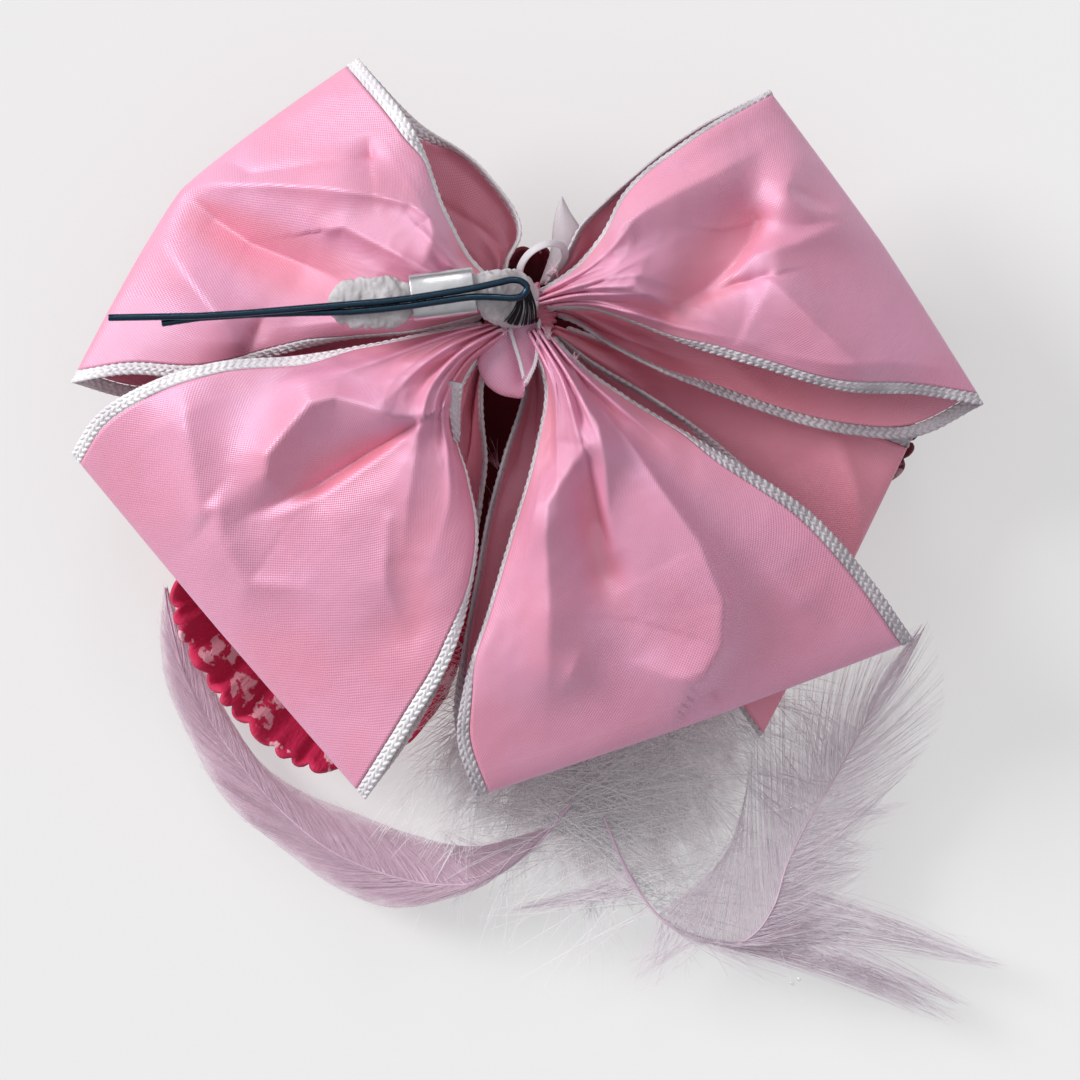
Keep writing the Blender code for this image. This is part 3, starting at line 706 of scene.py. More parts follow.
class Tree:
    """A geometry tree with named inputs for its sizes."""

    def __init__(self, name: str, sizes: dict) -> None:
        """Starts a tree.

        Args:
            name: The tree's name.
            sizes: The name and the kind of socket of each input.
        """
        self.group = bpy.data.node_groups.new(name, "GeometryNodeTree")
        self.group.is_modifier = True
        face = self.group.interface
        face.new_socket("Geometry", in_out="OUTPUT", socket_type="NodeSocketGeometry")
        face.new_socket("Geometry", in_out="INPUT", socket_type="NodeSocketGeometry")
        self.keys = {}
        for label, kind in sizes.items():
            self.keys[label] = face.new_socket(label, in_out="INPUT", socket_type=f"NodeSocket{kind}").identifier
        self.graph = Graph(self.group)
        self.start = self.graph.add("NodeGroupInput").outputs

    def named(self, name: str, kind: str) -> Socket:
        """The value of a stored attribute at each point."""
        return self.graph.add("GeometryNodeInputNamedAttribute", {"data_type": kind}, {"Name": name}).outputs[0]

    def end(self, geometry: Socket) -> None:
        """Realizes, smooths and dresses the result and ends the tree.

        Args:
            geometry: The result.
        """
        real = self.graph.add("GeometryNodeRealizeInstances", {}, {0: geometry}).outputs[0]
        soft = self.graph.add("GeometryNodeSetShadeSmooth", {}, {0: real}).outputs[0]
        worn = self.graph.add("GeometryNodeSetMaterial", {}, {0: soft, "Material": self.start["Material"]})
        self.graph.add("NodeGroupOutput", {}, {0: worn.outputs[0]})

    def run(self, thing: Thing, finish: Finish, **sizes: object) -> Thing:
        """Runs the tree on an object and bakes the result.

        Args:
            thing: The object that carries the points or paths.
            finish: What the result is dressed in.
            sizes: The tree's inputs, named with _ for a space.

        Returns:
            The same object, as a plain mesh.
        """
        modifier = thing.modifiers.new(self.group.name, "NODES")
        modifier.node_group = self.group
        modifier[self.keys["Material"]] = finish.material()
        for label, value in sizes.items():
            modifier[self.keys[label.replace("_", " ")]] = value
        baked(thing)
        return finish.dress(thing)


def stitch_tree() -> Tree:
    """Makes the tree that sets an oval stitch at each seed and keeps the strip that they are worked on.

    Returns:
        The tree.
    """
    tree = Tree("Stitches", {"Stitch Length": "Float", "Stitch Width": "Float", "Stitch Height": "Float",
                             "Spread": "Float", "Seed": "Int", "Material": "Material"})
    add, start = tree.graph.add, tree.start
    split = add("GeometryNodeSeparateGeometry", {"domain": "POINT"},
                {0: start["Geometry"], 1: tree.named("seed", "BOOLEAN")})
    grain = add("GeometryNodeMeshUVSphere", {}, {"Segments": 6, "Rings": 4, "Radius": 0.5})
    sizes = add("ShaderNodeCombineXYZ", {}, {0: start["Stitch Length"], 1: start["Stitch Width"],
                                             2: start["Stitch Height"]})
    stitch = add("GeometryNodeTransform", {}, {0: grain.outputs[0], "Scale": sizes.outputs[0]})
    first = add("FunctionNodeAlignRotationToVector", {"axis": "X"},
                {"Vector": tree.named("along", "FLOAT_VECTOR")})
    turned = add("FunctionNodeAlignRotationToVector", {"axis": "Z", "pivot_axis": "X"},
                 {"Rotation": first.outputs[0], "Vector": tree.named("up", "FLOAT_VECTOR")})
    low = add("ShaderNodeMath", {"operation": "SUBTRACT"}, {0: 1.0, 1: start["Spread"]})
    high = add("ShaderNodeMath", {"operation": "ADD"}, {0: 1.0, 1: start["Spread"]})
    chance = add("FunctionNodeRandomValue", {"data_type": "FLOAT"},
                 {2: low.outputs[0], 3: high.outputs[0], "Seed": start["Seed"]})
    worked = add("GeometryNodeInstanceOnPoints", {}, {"Points": split.outputs[0], "Instance": stitch.outputs[0],
                                                      "Rotation": turned.outputs[0], "Scale": chance.outputs[1]})
    both = add("GeometryNodeJoinGeometry")
    tree.group.links.new(worked.outputs[0], both.inputs[0])
    tree.group.links.new(split.outputs[1], both.inputs[0])
    tree.end(both.outputs[0])
    return tree


def strand_tree() -> Tree:
    """Makes the tree that sweeps a round section along each path, by its stored thickness.

    Returns:
        The tree.
    """
    tree = Tree("Strands", {"Sides": "Int", "Thickness": "Float", "Material": "Material"})
    add, start = tree.graph.add, tree.start
    paths = add("GeometryNodeMeshToCurve", {}, {0: start["Geometry"]})
    section = add("GeometryNodeCurvePrimitiveCircle", {}, {"Resolution": start["Sides"], "Radius": 1.0})
    scale = add("ShaderNodeMath", {"operation": "MULTIPLY"},
                {0: tree.named("thickness", "FLOAT"), 1: start["Thickness"]})
    swept = add("GeometryNodeCurveToMesh", {}, {"Curve": paths.outputs[0], "Profile Curve": section.outputs[0],
                                                "Scale": scale.outputs[0], "Fill Caps": True})
    tree.end(swept.outputs[0])
    return tree


STITCHES = stitch_tree()
STRANDS = strand_tree()


def strands(name: str, paths: Array, radii: Array, finish: Finish, sides: int = 3) -> Thing:
    """Makes many fine tubes in one piece.

    Args:
        name: The piece's name.
        paths: Points in metres: strand, point, axis.
        radii: The radius in metres at each point of a strand.
        finish: Its finish.
        sides: The sides of a tube.

    Returns:
        The piece.
    """
    count, length = paths.shape[:2]
    starts = (np.arange(count) * length)[:, None] + np.arange(length - 1)[None, :]
    edges = np.stack([starts, starts + 1], axis=-1).reshape(-1, 2)
    thing = new_object(name, paths, [], [tuple(int(k) for k in pair) for pair in edges])
    set_attribute(thing, "thickness", "FLOAT", np.broadcast_to(radii, (count, length)))
    return STRANDS.run(thing, finish, Sides=sides, Thickness=1.0)


def worked_strip(name: str, grid: Array, rows: int, wall: float, stitch: tuple,
                 finish: Finish = BRAID) -> Thing:
    """Makes a flat braid: a thin strip with slanting stitches in rows along it.

    Args:
        name: The piece's name.
        grid: Points in metres, a row at each stitch and one column at each edge.
        rows: How many rows of stitches lie side by side.
        wall: The strip's thickness in metres.
        stitch: Length, width and height of a stitch in metres.
        finish: Its finish.

    Returns:
        The piece.
    """
    strip = thicken(new_object(name, grid, grid_faces(*grid.shape[:2])), wall)
    edge, far = grid[:, 0], grid[:, -1]
    run = along_rows((edge + far) / 2)
    side = unit(far - edge)
    up = unit(np.cross(run, side))
    places, slants, ups = [], [], []
    for k in range(rows):
        shift = 0.5 * (k % 2)
        share = (k + 0.5) / rows
        line = edge * (1 - share) + far * share
        line = line[:-1] * (1 - shift) + line[1:] * shift
        lean = 0.5 if k % 2 else -0.5
        places.append(line)
        slants.append(unit(run[:-1] + side[:-1] * lean))
        ups.append(up[:-1])
    places, slants, ups = (np.concatenate(part) for part in (places, slants, ups))
    count = len(strip.data.vertices)
    verts = np.empty(count * 3)
    strip.data.vertices.foreach_get("co", verts)
    faces = [tuple(face.vertices) for face in strip.data.polygons]
    bpy.data.objects.remove(strip, do_unlink=True)
    thing = new_object(name, np.concatenate([verts.reshape(-1, 3), places]), faces)
    blank = np.zeros((count, 3))
    set_attribute(thing, "seed", "BOOLEAN", np.arange(count + len(places)) >= count)
    set_attribute(thing, "along", "FLOAT_VECTOR", np.concatenate([blank, slants]))
    set_attribute(thing, "up", "FLOAT_VECTOR", np.concatenate([blank, ups]))
    return STITCHES.run(thing, finish, Stitch_Length=stitch[0], Stitch_Width=stitch[1], Stitch_Height=stitch[2],
                        Spread=0.1, Seed=7)


# ---- ribbon


class Pleat(NamedTuple):
    """A gathered pleat: its shares of the width at the root and at its end, height, reach and width."""

    at_root: float
    at_end: float
    height: float
    reach: float
    slim: float


class Crease(NamedTuple):
    """A fold: across, down and lift in millimetres along it, each flank's width and its bluntness in steps."""

    line: list
    left: float
    right: float
    blunt: float = 1.3


def crease_height(creases: list, points: Array) -> Array:
    """Adds up sharp folds.

    Args:
        creases: The folds.
        points: Across and down in the last axis.

    Returns:
        The height in millimetres at each point.
    """
    total = np.zeros(points.shape[:-1])
    for crease in creases:
        line = np.array(crease.line, float)
        nearest = np.full(points.shape[:-1], np.inf)
        height = np.zeros(points.shape[:-1])
        for start, stop in zip(line[:-1], line[1:]):
            run = stop[:2] - start[:2]
            offset = points - start[:2]
            along = np.clip((offset @ run) / (run @ run), 0.0, 1.0)
            away = np.linalg.norm(offset - along[..., None] * run, axis=-1)
            right = run[0] * offset[..., 1] - run[1] * offset[..., 0] > 0
            flank = np.where(right, crease.right, crease.left)
            lift = start[2] + (stop[2] - start[2]) * along
            here = lift * np.exp(-(np.sqrt(away**2 + crease.blunt**2) - crease.blunt) / flank)
            height = np.where(away < nearest, here, height)
            nearest = np.minimum(away, nearest)
        total += height
    return total


@dataclass
class RibbonLoop:
    """One loop of the bow and the braids on its two edges. Edge rows run from the root to the fold.

    Heights, puff and sag are in millimetres. cut_area is the flat area in square metres of the shape that is
    modelled, without the cloth that the real pleats hide. It is not used.
    """

    name: str
    over_near: list
    over_far: list
    under_near: list
    under_far: list
    fold_height: float
    fold_bow: float
    puff: float
    sag: float
    cut_area: float
    ridges: list = field(default_factory=list)
    creases: list = field(default_factory=list)
    pleats: list = field(default_factory=list)
    flat_from: tuple = (0.5, 0.5)
    ribbon_width: float = 63 * MM
    cut_length: float = 125 * MM
    cloth_wall: float = 0.32 * MM
    braid_width: float = 1.75 * MM
    braid_share_at_root: float = 0.2
    braid_pitch: float = 1.05 * MM
    crease_gain: float = 1.65
    most_relief: float = 9.0
    calm_edges: float = 2.6
    crumpled_at: float = 0.17
    # Painted shade: these set how far the cloth's colour turns to the warm shade pink, more in valleys, near the root
    # and on the under layer.
    painted_shade_laid: float = 0.14
    painted_shade_by_lift: float = 0.26
    most_painted_shade_in_folds: float = 0.5
    painted_shade_at_root: float = 0.75
    painted_shade_under: float = 0.7
    least_painted_shade: float = 0.0
    seed: float = 0.0
    # The right and rear loops take the braid darkened with painted shade.
    braid_finish: Finish = BRAID
    standing: float = 0.74
    turned_down: float = 1.7
    nose_share: float = 0.6
    over_rows: int = 120
    nose_rows: int = 24
    under_rows: int = 44
    columns: int = 116

    def layer(self, layer: Layer, reach: Array, width: Array) -> Array:
        """Shapes one layer.

        Args:
            layer: Which one.
            reach: How far out each row is, from 0 at the root to 1 at the fold.
            width: How far across the ribbon each point is, from 0 to 1.

        Returns:
            Across, down and height of each point, and how far the folds lift it in millimetres.
        """
        over = layer is Layer.OVER
        near, far = (self.over_near, self.over_far) if over else (self.under_near, self.under_far)
        a = spline(near, reach)[:, None, :]
        b = spline(far, reach)[:, None, :]
        v = width[:, :, None]
        points = a * (1 - v) + b * v
        fold_run = np.array(far[-1][:2], float) - np.array(near[-1][:2], float)
        outward = np.array([fold_run[1], -fold_run[0]]) / np.linalg.norm(fold_run)
        root = (np.array(near[0][:2], float) + np.array(far[0][:2], float)) / 2
        if outward @ (np.array(near[-1][:2], float) - root) < 0:
            outward = -outward
        bow = self.fold_bow * MM / STEP * (1 - np.abs(2 * width - 1) ** 1.25) * reach[:, None] ** 2
        points[..., :2] += bow[..., None] * outward
        crown = np.sin(math.pi * reach**0.75)[:, None] * np.sin(math.pi * np.clip(width, 0, 1)) ** 0.8
        points[..., 2] += (self.puff if over else -self.sag) * crown
        calm = np.clip(4 * width * (1 - width) * self.calm_edges, 0.0, 1.0)
        relief = self.pleating(reach, width) * calm * (1.0 if over else -0.6) + self.crumples(reach, width) * calm
        if over:
            flat = np.clip(reach / 0.12, 0.0, 1.0)[:, None] * calm
            sharp = crease_height(self.creases, points[..., :2]) * self.crease_gain
            relief += (self.broad_folds(points[..., :2]) + sharp) * flat
        relief = np.where(relief > 0, self.most_relief * np.tanh(relief / self.most_relief), relief)
        points[..., 2] += relief
        return np.dstack([points, relief])

    def broad_folds(self, points: Array) -> Array:
        """Adds up the rounded folds.

        Args:
            points: Across and down in the last axis.

        Returns:
            The height in millimetres at each point.
        """
        height = np.zeros(points.shape[:-1])
        for across_a, down_a, across_b, down_b, lift, half_width in self.ridges:
            start = np.array([across_a, down_a], float)
            run = np.array([across_b, down_b], float) - start
            along = np.clip(((points - start) @ run) / (run @ run), 0.0, 1.0)
            away = np.linalg.norm(points - start - along[..., None] * run, axis=-1)
            height += lift * np.exp(-((away / half_width) ** 2))
        return height

    def pleating(self, reach: Array, width: Array) -> Array:
        """Adds up the pleats that spread from the root.

        Args:
            reach: How far out each row is.
            width: How far across the ribbon each point is.

        Returns:
            The height in millimetres at each point.
        """
        height = np.zeros(width.shape)
        for pleat in self.pleats:
            centre = pleat.at_root + (pleat.at_end - pleat.at_root) * np.clip(reach / pleat.reach, 0.0, 1.0)[:, None]
            away = width - centre
            slim = np.where(away > 0, pleat.slim * 1.3, pleat.slim * 0.8)
            crest = np.exp(-(np.sqrt(away**2 + 0.006**2) - 0.006) / slim)
            height += pleat.height * crest * np.exp(-((reach / pleat.reach) ** 3.0))[:, None]
        return height

    def crumples(self, reach: Array, width: Array) -> Array:
        """Makes the small folds, which are strongest near the root.

        Args:
            reach: How far out each row is.
            width: How far across the ribbon each point is.

        Returns:
            The height in millimetres at each point.
        """
        height = np.empty(width.shape)
        for i, out in enumerate(reach):
            near = math.exp(-(((out - self.crumpled_at) / self.crumpled_at) ** 2))
            for j, across in enumerate(width[i]):
                large = 0.45 - 2.0 * abs(noise.noise(Vector((across * 3.6, out * 4.0, self.seed))))
                small = 0.4 - 2.0 * abs(noise.noise(Vector((across * 8.0 + out * 6.0, out * 11.0, self.seed + 9))))
                height[i, j] = large * (0.2 + 1.5 * near) + small * (0.08 + 0.3 * near)
        return height

    def standing_share(self, reach: Array, edge: int) -> Array:
        """How far an edge stands up on its side, from 0 flat to 1."""
        flat = np.clip((reach - self.flat_from[edge]) / 0.16 + 0.5, 0.0, 1.0)
        return 1.0 - flat * flat * (3.0 - 2.0 * flat)

    def surface(self, turn: Array, width: Array) -> Array:
        """Places the loop's cloth.

        Args:
            turn: Where each row is: 0 root, 1 fold, 2 root again.
            width: How far across the ribbon each point is.

        Returns:
            Points in metres, and in a fourth column the share of painted shade on each, from 0 to 1.
        """
        over = turn <= 1.0
        to_fold = np.abs(1.0 - turn)
        reach = 1.0 - to_fold**2
        top = self.layer(Layer.OVER, reach, width)
        low = self.layer(Layer.UNDER, reach, width)
        points = np.where(over[:, None, None], top, low)
        for edge, away in enumerate((width, 1.0 - width)):
            stand = (self.standing_share(reach, edge) * np.where(over, -1.0, 1.0))[:, None]
            share = self.edge_share(points[..., :2] * STEP, reach, edge)[:, None]
            turned = np.clip(1.0 - away / share, 0.0, 1.0) + 0.4 * np.exp(-((away / (share * 2.2)) ** 2))
            points[..., 2] += stand * turned * self.turned_down
        rise = np.sin(0.5 * math.pi * np.clip(to_fold / self.nose_share, 0.0, 1.0))[:, None]
        points[..., 2] = self.fold_height + (points[..., 2] - self.fold_height) * rise
        # Painted shade: a share that grows in valleys and near the root, is fixed on the under layer and fades to
        # nothing at the fold.
        root = np.exp(-((reach / 0.3) ** 2))[:, None]
        folded = np.minimum(self.painted_shade_laid - self.painted_shade_by_lift * points[..., 3], self.most_painted_shade_in_folds)
        painted_shade = np.clip(folded + self.painted_shade_at_root * root, 0.0, 1.0)
        painted_shade = np.where(over[:, None], painted_shade, self.painted_shade_under) * np.clip(to_fold / 0.3, 0.0, 1.0)[:, None]
        return np.dstack([place(points[..., :3]), np.maximum(painted_shade, self.least_painted_shade)])

    def edge_share(self, points: Array, reach: Array, edge: int) -> Array:
        """The share of the laid width that the braid on one edge takes.

        Args:
            points: Rows of points in metres of which the first and last lie at or near the edges.
            reach: How far out each row is.
            edge: 0 for the near edge, 1 for the far one.

        Returns:
            A share for each row.
        """
        wide = np.linalg.norm(points[:, -1, :2] - points[:, 0, :2], axis=1)
        seen = self.braid_width * (1.0 - self.standing * self.standing_share(reach, edge))
        return np.minimum(seen / np.maximum(wide, 2 * MM), self.braid_share_at_root)

    def braid_share(self, turn: Array, edge: int) -> Array:
        """The share of the width that one braid takes.

        Args:
            turn: Where each row is.
            edge: 0 for the near edge, 1 for the far one.

        Returns:
            A share for each row.
        """
        reach = 1.0 - (1.0 - turn) ** 2
        ends = self.surface(turn, np.tile([[0.0, 1.0]], (len(turn), 1)))
        return self.edge_share(ends, reach, edge)

    def cloth(self) -> Thing:
        """Makes the loop's cloth between its braids.

        Returns:
            The cloth.
        """
        nose = 0.3
        over = 1.0 - np.sqrt(1.0 - np.linspace(0.0, 1.0 - nose**2, self.over_rows))
        under = 1.0 + np.sqrt(1.0 - np.linspace(1.0 - nose**2, 0.0, self.under_rows))
        turn = np.concatenate([over, np.linspace(1.0 - nose, 1.0 + nose, self.nose_rows)[1:-1], under])
        near, far = (self.braid_share(turn, edge)[:, None] + 0.002 for edge in (0, 1))
        width = near + (1 - near - far) * even(self.columns + 1)[None, :]
        shaped = self.surface(turn, width)
        grid = shaped[..., :3]
        thing = new_object(f"ribbon_{self.name}", grid, grid_faces(*grid.shape[:2]))
        # Stores the share of painted shade, which the finish reads.
        set_attribute(thing, "painted_shade", "FLOAT", shaped[..., 3])
        middle = grid[:, self.columns // 2]
        run = np.concatenate([[0.0], np.cumsum(np.linalg.norm(np.diff(middle, axis=0), axis=1))])
        set_uv(thing, np.stack([width * self.ribbon_width, np.repeat(run[:, None], width.shape[1], 1)], -1))
        thicken(thing, self.cloth_wall)
        return RIBBON.dress(thing)

    def braid(self, edge: str) -> Thing:
        """Makes the braid on one edge.

        Args:
            edge: Its name, near or far.

        Returns:
            The braid.
        """
        side = 0 if edge == "near" else 1
        fine = np.linspace(0.02, 1.98, 400)
        line = self.surface(fine, np.tile([[0.0, 1.0]], (len(fine), 1)))[:, side, :3]
        run = np.concatenate([[0.0], np.cumsum(np.linalg.norm(np.diff(line, axis=0), axis=1))])
        count = int(run[-1] / self.braid_pitch)
        turn = np.interp(np.linspace(0.0, run[-1], count), run, fine)
        share = self.braid_share(turn, side)[:, None]
        width = np.hstack([0 * share, share, 1 - share, 0 * share + 1])
        grid = self.surface(turn, width)[:, 2 * side:2 * side + 2, :3]
        stitch = (self.braid_pitch * 1.3, 0.6 * MM, 0.6 * MM)
        return worked_strip(f"braid_{self.name}_{edge}", grid, 3, 0.3 * MM, stitch, self.braid_finish)

    def build(self) -> None:
        cloth = register(self.cloth(), Slot.RIBBON, f"loop_{self.name}")
        braids = [register(self.braid(edge), Slot.BRAID, f"edging_{self.name}_{edge}") for edge in ("near", "far")]


UPPER_LEFT = RibbonLoop(
    name="upper_left",
    over_near=[(508, 291, 36.3), (474, 262, 36.0), (447, 215, 36.0), (415, 132, 33.0), (358, 57, 29.5)],
    over_far=[(496, 312, 36.3), (412, 332, 34.5), (340, 339, 32.0), (268, 357, 29.5), (190, 376, 28.5),
              (120, 374, 28.0), (70, 382, 28.0)],
    under_near=[(508, 291, 26.5), (507, 262, 25.5), (520, 235, 23.5), (485, 170, 20.0), (415, 117, 18.0),
                (358, 57, 18.5)],
    under_far=[(496, 312, 26.5), (445, 330, 25.5), (412, 338, 25.0), (385, 348, 24.0), (335, 359, 21.5),
               (250, 372, 19.5), (125, 397, 18.5), (70, 382, 19.0)],
    fold_height=23.5, fold_bow=6.2, puff=4.0, sag=2.0, cut_area=0.0035, flat_from=(0.62, 0.42), seed=1.5,
    pleats=[Pleat(0.14, 0.2, 2.2, 0.42, 0.045), Pleat(0.36, 0.38, 2.0, 0.36, 0.05), Pleat(0.6, 0.52, 1.6, 0.3, 0.05),
            Pleat(0.84, 0.86, 1.6, 0.4, 0.04)],
    ridges=[(180, 187, 339, 189, 1.6, 34), (339, 189, 425, 250, 2.0, 30), (196, 205, 330, 280, -1.6, 30),
            (157, 232, 243, 354, 1.2, 34)],
    creases=[
        Crease([(180, 188, 0.6), (214, 183, 1.6), (271, 184, 1.9), (321, 188, 1.9), (375, 195, 1.8),
                (411, 204, 1.8), (430, 218, 1.6), (434, 236, 1.2), (423, 268, 0.2)], 22, 10),
        Crease([(184, 191, -0.4), (214, 218, -1.5), (250, 243, -1.6), (304, 264, -1.2), (345, 283, -0.2)], 12, 22),
        Crease([(236, 165, -0.8), (250, 174, -1.1), (285, 170, -0.9), (321, 164, -0.7), (375, 157, 0.0)], 10, 16),
        Crease([(368, 134, 0.0), (371, 156, -1.2)], 7, 16),
        Crease([(155, 230, 0.5), (186, 275, 1.4), (221, 321, 1.2), (245, 354, 0.2)], 24, 18),
        Crease([(246, 356, -0.9), (254, 332, -1.0), (268, 308, 0.0)], 10, 18),
        Crease([(329, 229, 1.2), (343, 227, 1.4), (375, 243, 1.2), (400, 256, 1.0), (421, 272, 0.2)], 18, 7),
    ],
)
LOWER_LEFT = RibbonLoop(
    name="lower_left",
    over_near=[(496, 320, 36.3), (441, 330, 36.0), (385, 342, 36.5), (299, 356, 35.5), (212, 363, 34.5),
               (150, 382, 33.0), (92, 418, 30.5), (70, 452, 28.5)],
    over_far=[(510, 334, 36.3), (470, 372, 36.0), (453, 420, 36.5), (468, 480, 36.5), (477, 533, 36.0),
              (469, 594, 34.5), (452, 655, 32.5), (410, 728, 30.0), (365, 800, 28.5)],
    under_near=[(496, 320, 26.5), (441, 352, 24.0), (385, 376, 20.5), (299, 396, 18.0), (212, 408, 17.0),
                (150, 418, 17.0), (100, 432, 17.5), (70, 452, 18.5)],
    under_far=[(510, 334, 26.5), (484, 375, 26.0), (482, 410, 24.5), (486, 460, 22.5), (480, 510, 21.0),
               (468, 580, 19.5), (450, 660, 18.0), (414, 732, 18.0), (365, 800, 18.5)],
    fold_height=23.5, fold_bow=0.3, puff=3.5, sag=1.0, cut_area=0.0045, flat_from=(0.38, 0.6), seed=4.3,
    pleats=[Pleat(0.14, 0.13, 2.2, 0.42, 0.04), Pleat(0.34, 0.36, 2.6, 0.3, 0.05), Pleat(0.56, 0.6, 2.8, 0.36, 0.05),
            Pleat(0.8, 0.84, 2.4, 0.4, 0.045)],
    ridges=[(179, 404, 221, 541, 1.6, 34), (411, 412, 311, 404, 2.0, 28), (311, 404, 262, 470, 1.6, 28),
            (411, 424, 321, 479, -2.2, 26), (393, 520, 400, 620, -1.4, 34)],
    creases=[
        Crease([(184, 396, 0.4), (186, 429, 1.2), (194, 480, 1.6), (201, 510, 1.8), (217, 509, 1.6),
                (221, 535, 1.5), (247, 584, 1.2), (300, 588, 0.4)], 20, 26),
        Crease([(416, 417, 1.4), (393, 416, 1.6), (364, 405, 1.8), (336, 397, 1.8), (312, 403, 1.9),
                (290, 428, 1.8), (268, 455, 1.6), (266, 474, 1.1), (278, 490, 0.0)], 10, 20),
        Crease([(416, 424, -1.8), (357, 460, -1.8), (314, 488, -1.4), (250, 514, -0.3)], 16, 9),
        Crease([(430, 420, 1.2), (392, 450, 1.5), (330, 492, 1.2), (268, 520, 0.2)], 12, 26),
        Crease([(389, 520, 1.0), (384, 580, 1.1), (405, 640, 0.2)], 30, 30),
        Crease([(420, 430, 0.8), (408, 500, 0.8), (402, 560, 0.0)], 20, 20),
    ],
)
LOWER_RIGHT = RibbonLoop(
    name="lower_right",
    over_near=[(525, 334, 36.3), (545, 385, 36.5), (536, 449, 37.0), (512, 533, 36.5), (486, 619, 34.0),
               (466, 680, 32.0), (457, 740, 30.0), (475, 797, 28.5)],
    over_far=[(544, 324, 36.3), (580, 364, 36.0), (629, 399, 37.0), (689, 435, 37.0), (755, 474, 36.0),
              (810, 512, 34.5), (860, 565, 32.0), (915, 640, 29.0)],
    under_near=[(525, 334, 26.5), (524, 390, 27.0), (504, 456, 27.5), (487, 520, 26.5), (476, 580, 24.5),
                (463, 650, 22.0), (454, 720, 21.0), (475, 797, 21.5)],
    under_far=[(544, 324, 26.5), (590, 360, 28.0), (650, 396, 27.5), (702, 431, 26.5), (760, 478, 24.5),
               (830, 545, 22.0), (915, 640, 21.5)],
    fold_height=25.0, fold_bow=0.6, puff=2.6, sag=0.5, cut_area=0.0046, flat_from=(0.76, 0.42), seed=7.7,
    braid_finish=SHADED_BRAID,
    pleats=[Pleat(0.2, 0.22, 2.4, 0.3, 0.05), Pleat(0.42, 0.4, 2.8, 0.34, 0.05), Pleat(0.62, 0.55, 2.6, 0.3, 0.045),
            Pleat(0.84, 0.86, 2.2, 0.3, 0.04)],
    ridges=[(588, 446, 545, 520, 1.4, 22), (548, 520, 552, 660, 1.6, 30), (575, 470, 604, 570, -1.8, 22),
            (565, 620, 690, 680, 0.8, 26)],
    creases=[
        Crease([(552, 345, 1.0), (560, 385, 1.6), (588, 445, 2.2), (563, 478, 1.8), (547, 505, 1.6),
                (546, 540, 1.4), (549, 610, 1.2), (548, 690, 0.3)], 16, 26),
        Crease([(566, 352, 1.0), (584, 403, 1.8), (598, 426, 2.0), (605, 464, 1.7), (607, 507, 1.2),
                (616, 556, 0.2)], 10, 8),
        Crease([(575, 400, -1.0), (590, 470, -1.6), (600, 520, -1.2), (612, 552, 0.0)], 10, 12),
        Crease([(586, 396, 0.6), (624, 437, 1.4), (660, 490, 2.2), (700, 545, 2.9), (724, 602, 3.3),
                (722, 645, 3.1), (701, 681, 2.4)], 12, 52),
        Crease([(701, 681, 1.2), (670, 678, 0.7), (640, 665, 0.4)], 14, 12),
        Crease([(596, 530, -0.4), (610, 600, -0.8), (640, 650, -0.6)], 30, 26, 12.0),
        Crease([(702, 684, -1.0), (714, 694, -1.4), (724, 708, 0.0)], 6, 6),
        Crease([(560, 690, 0.2), (572, 674, 1.0), (580, 650, 0.3)], 14, 14),
        Crease([(760, 560, 0.0), (800, 600, 0.6), (836, 628, 0.0)], 14, 14),
    ],
)
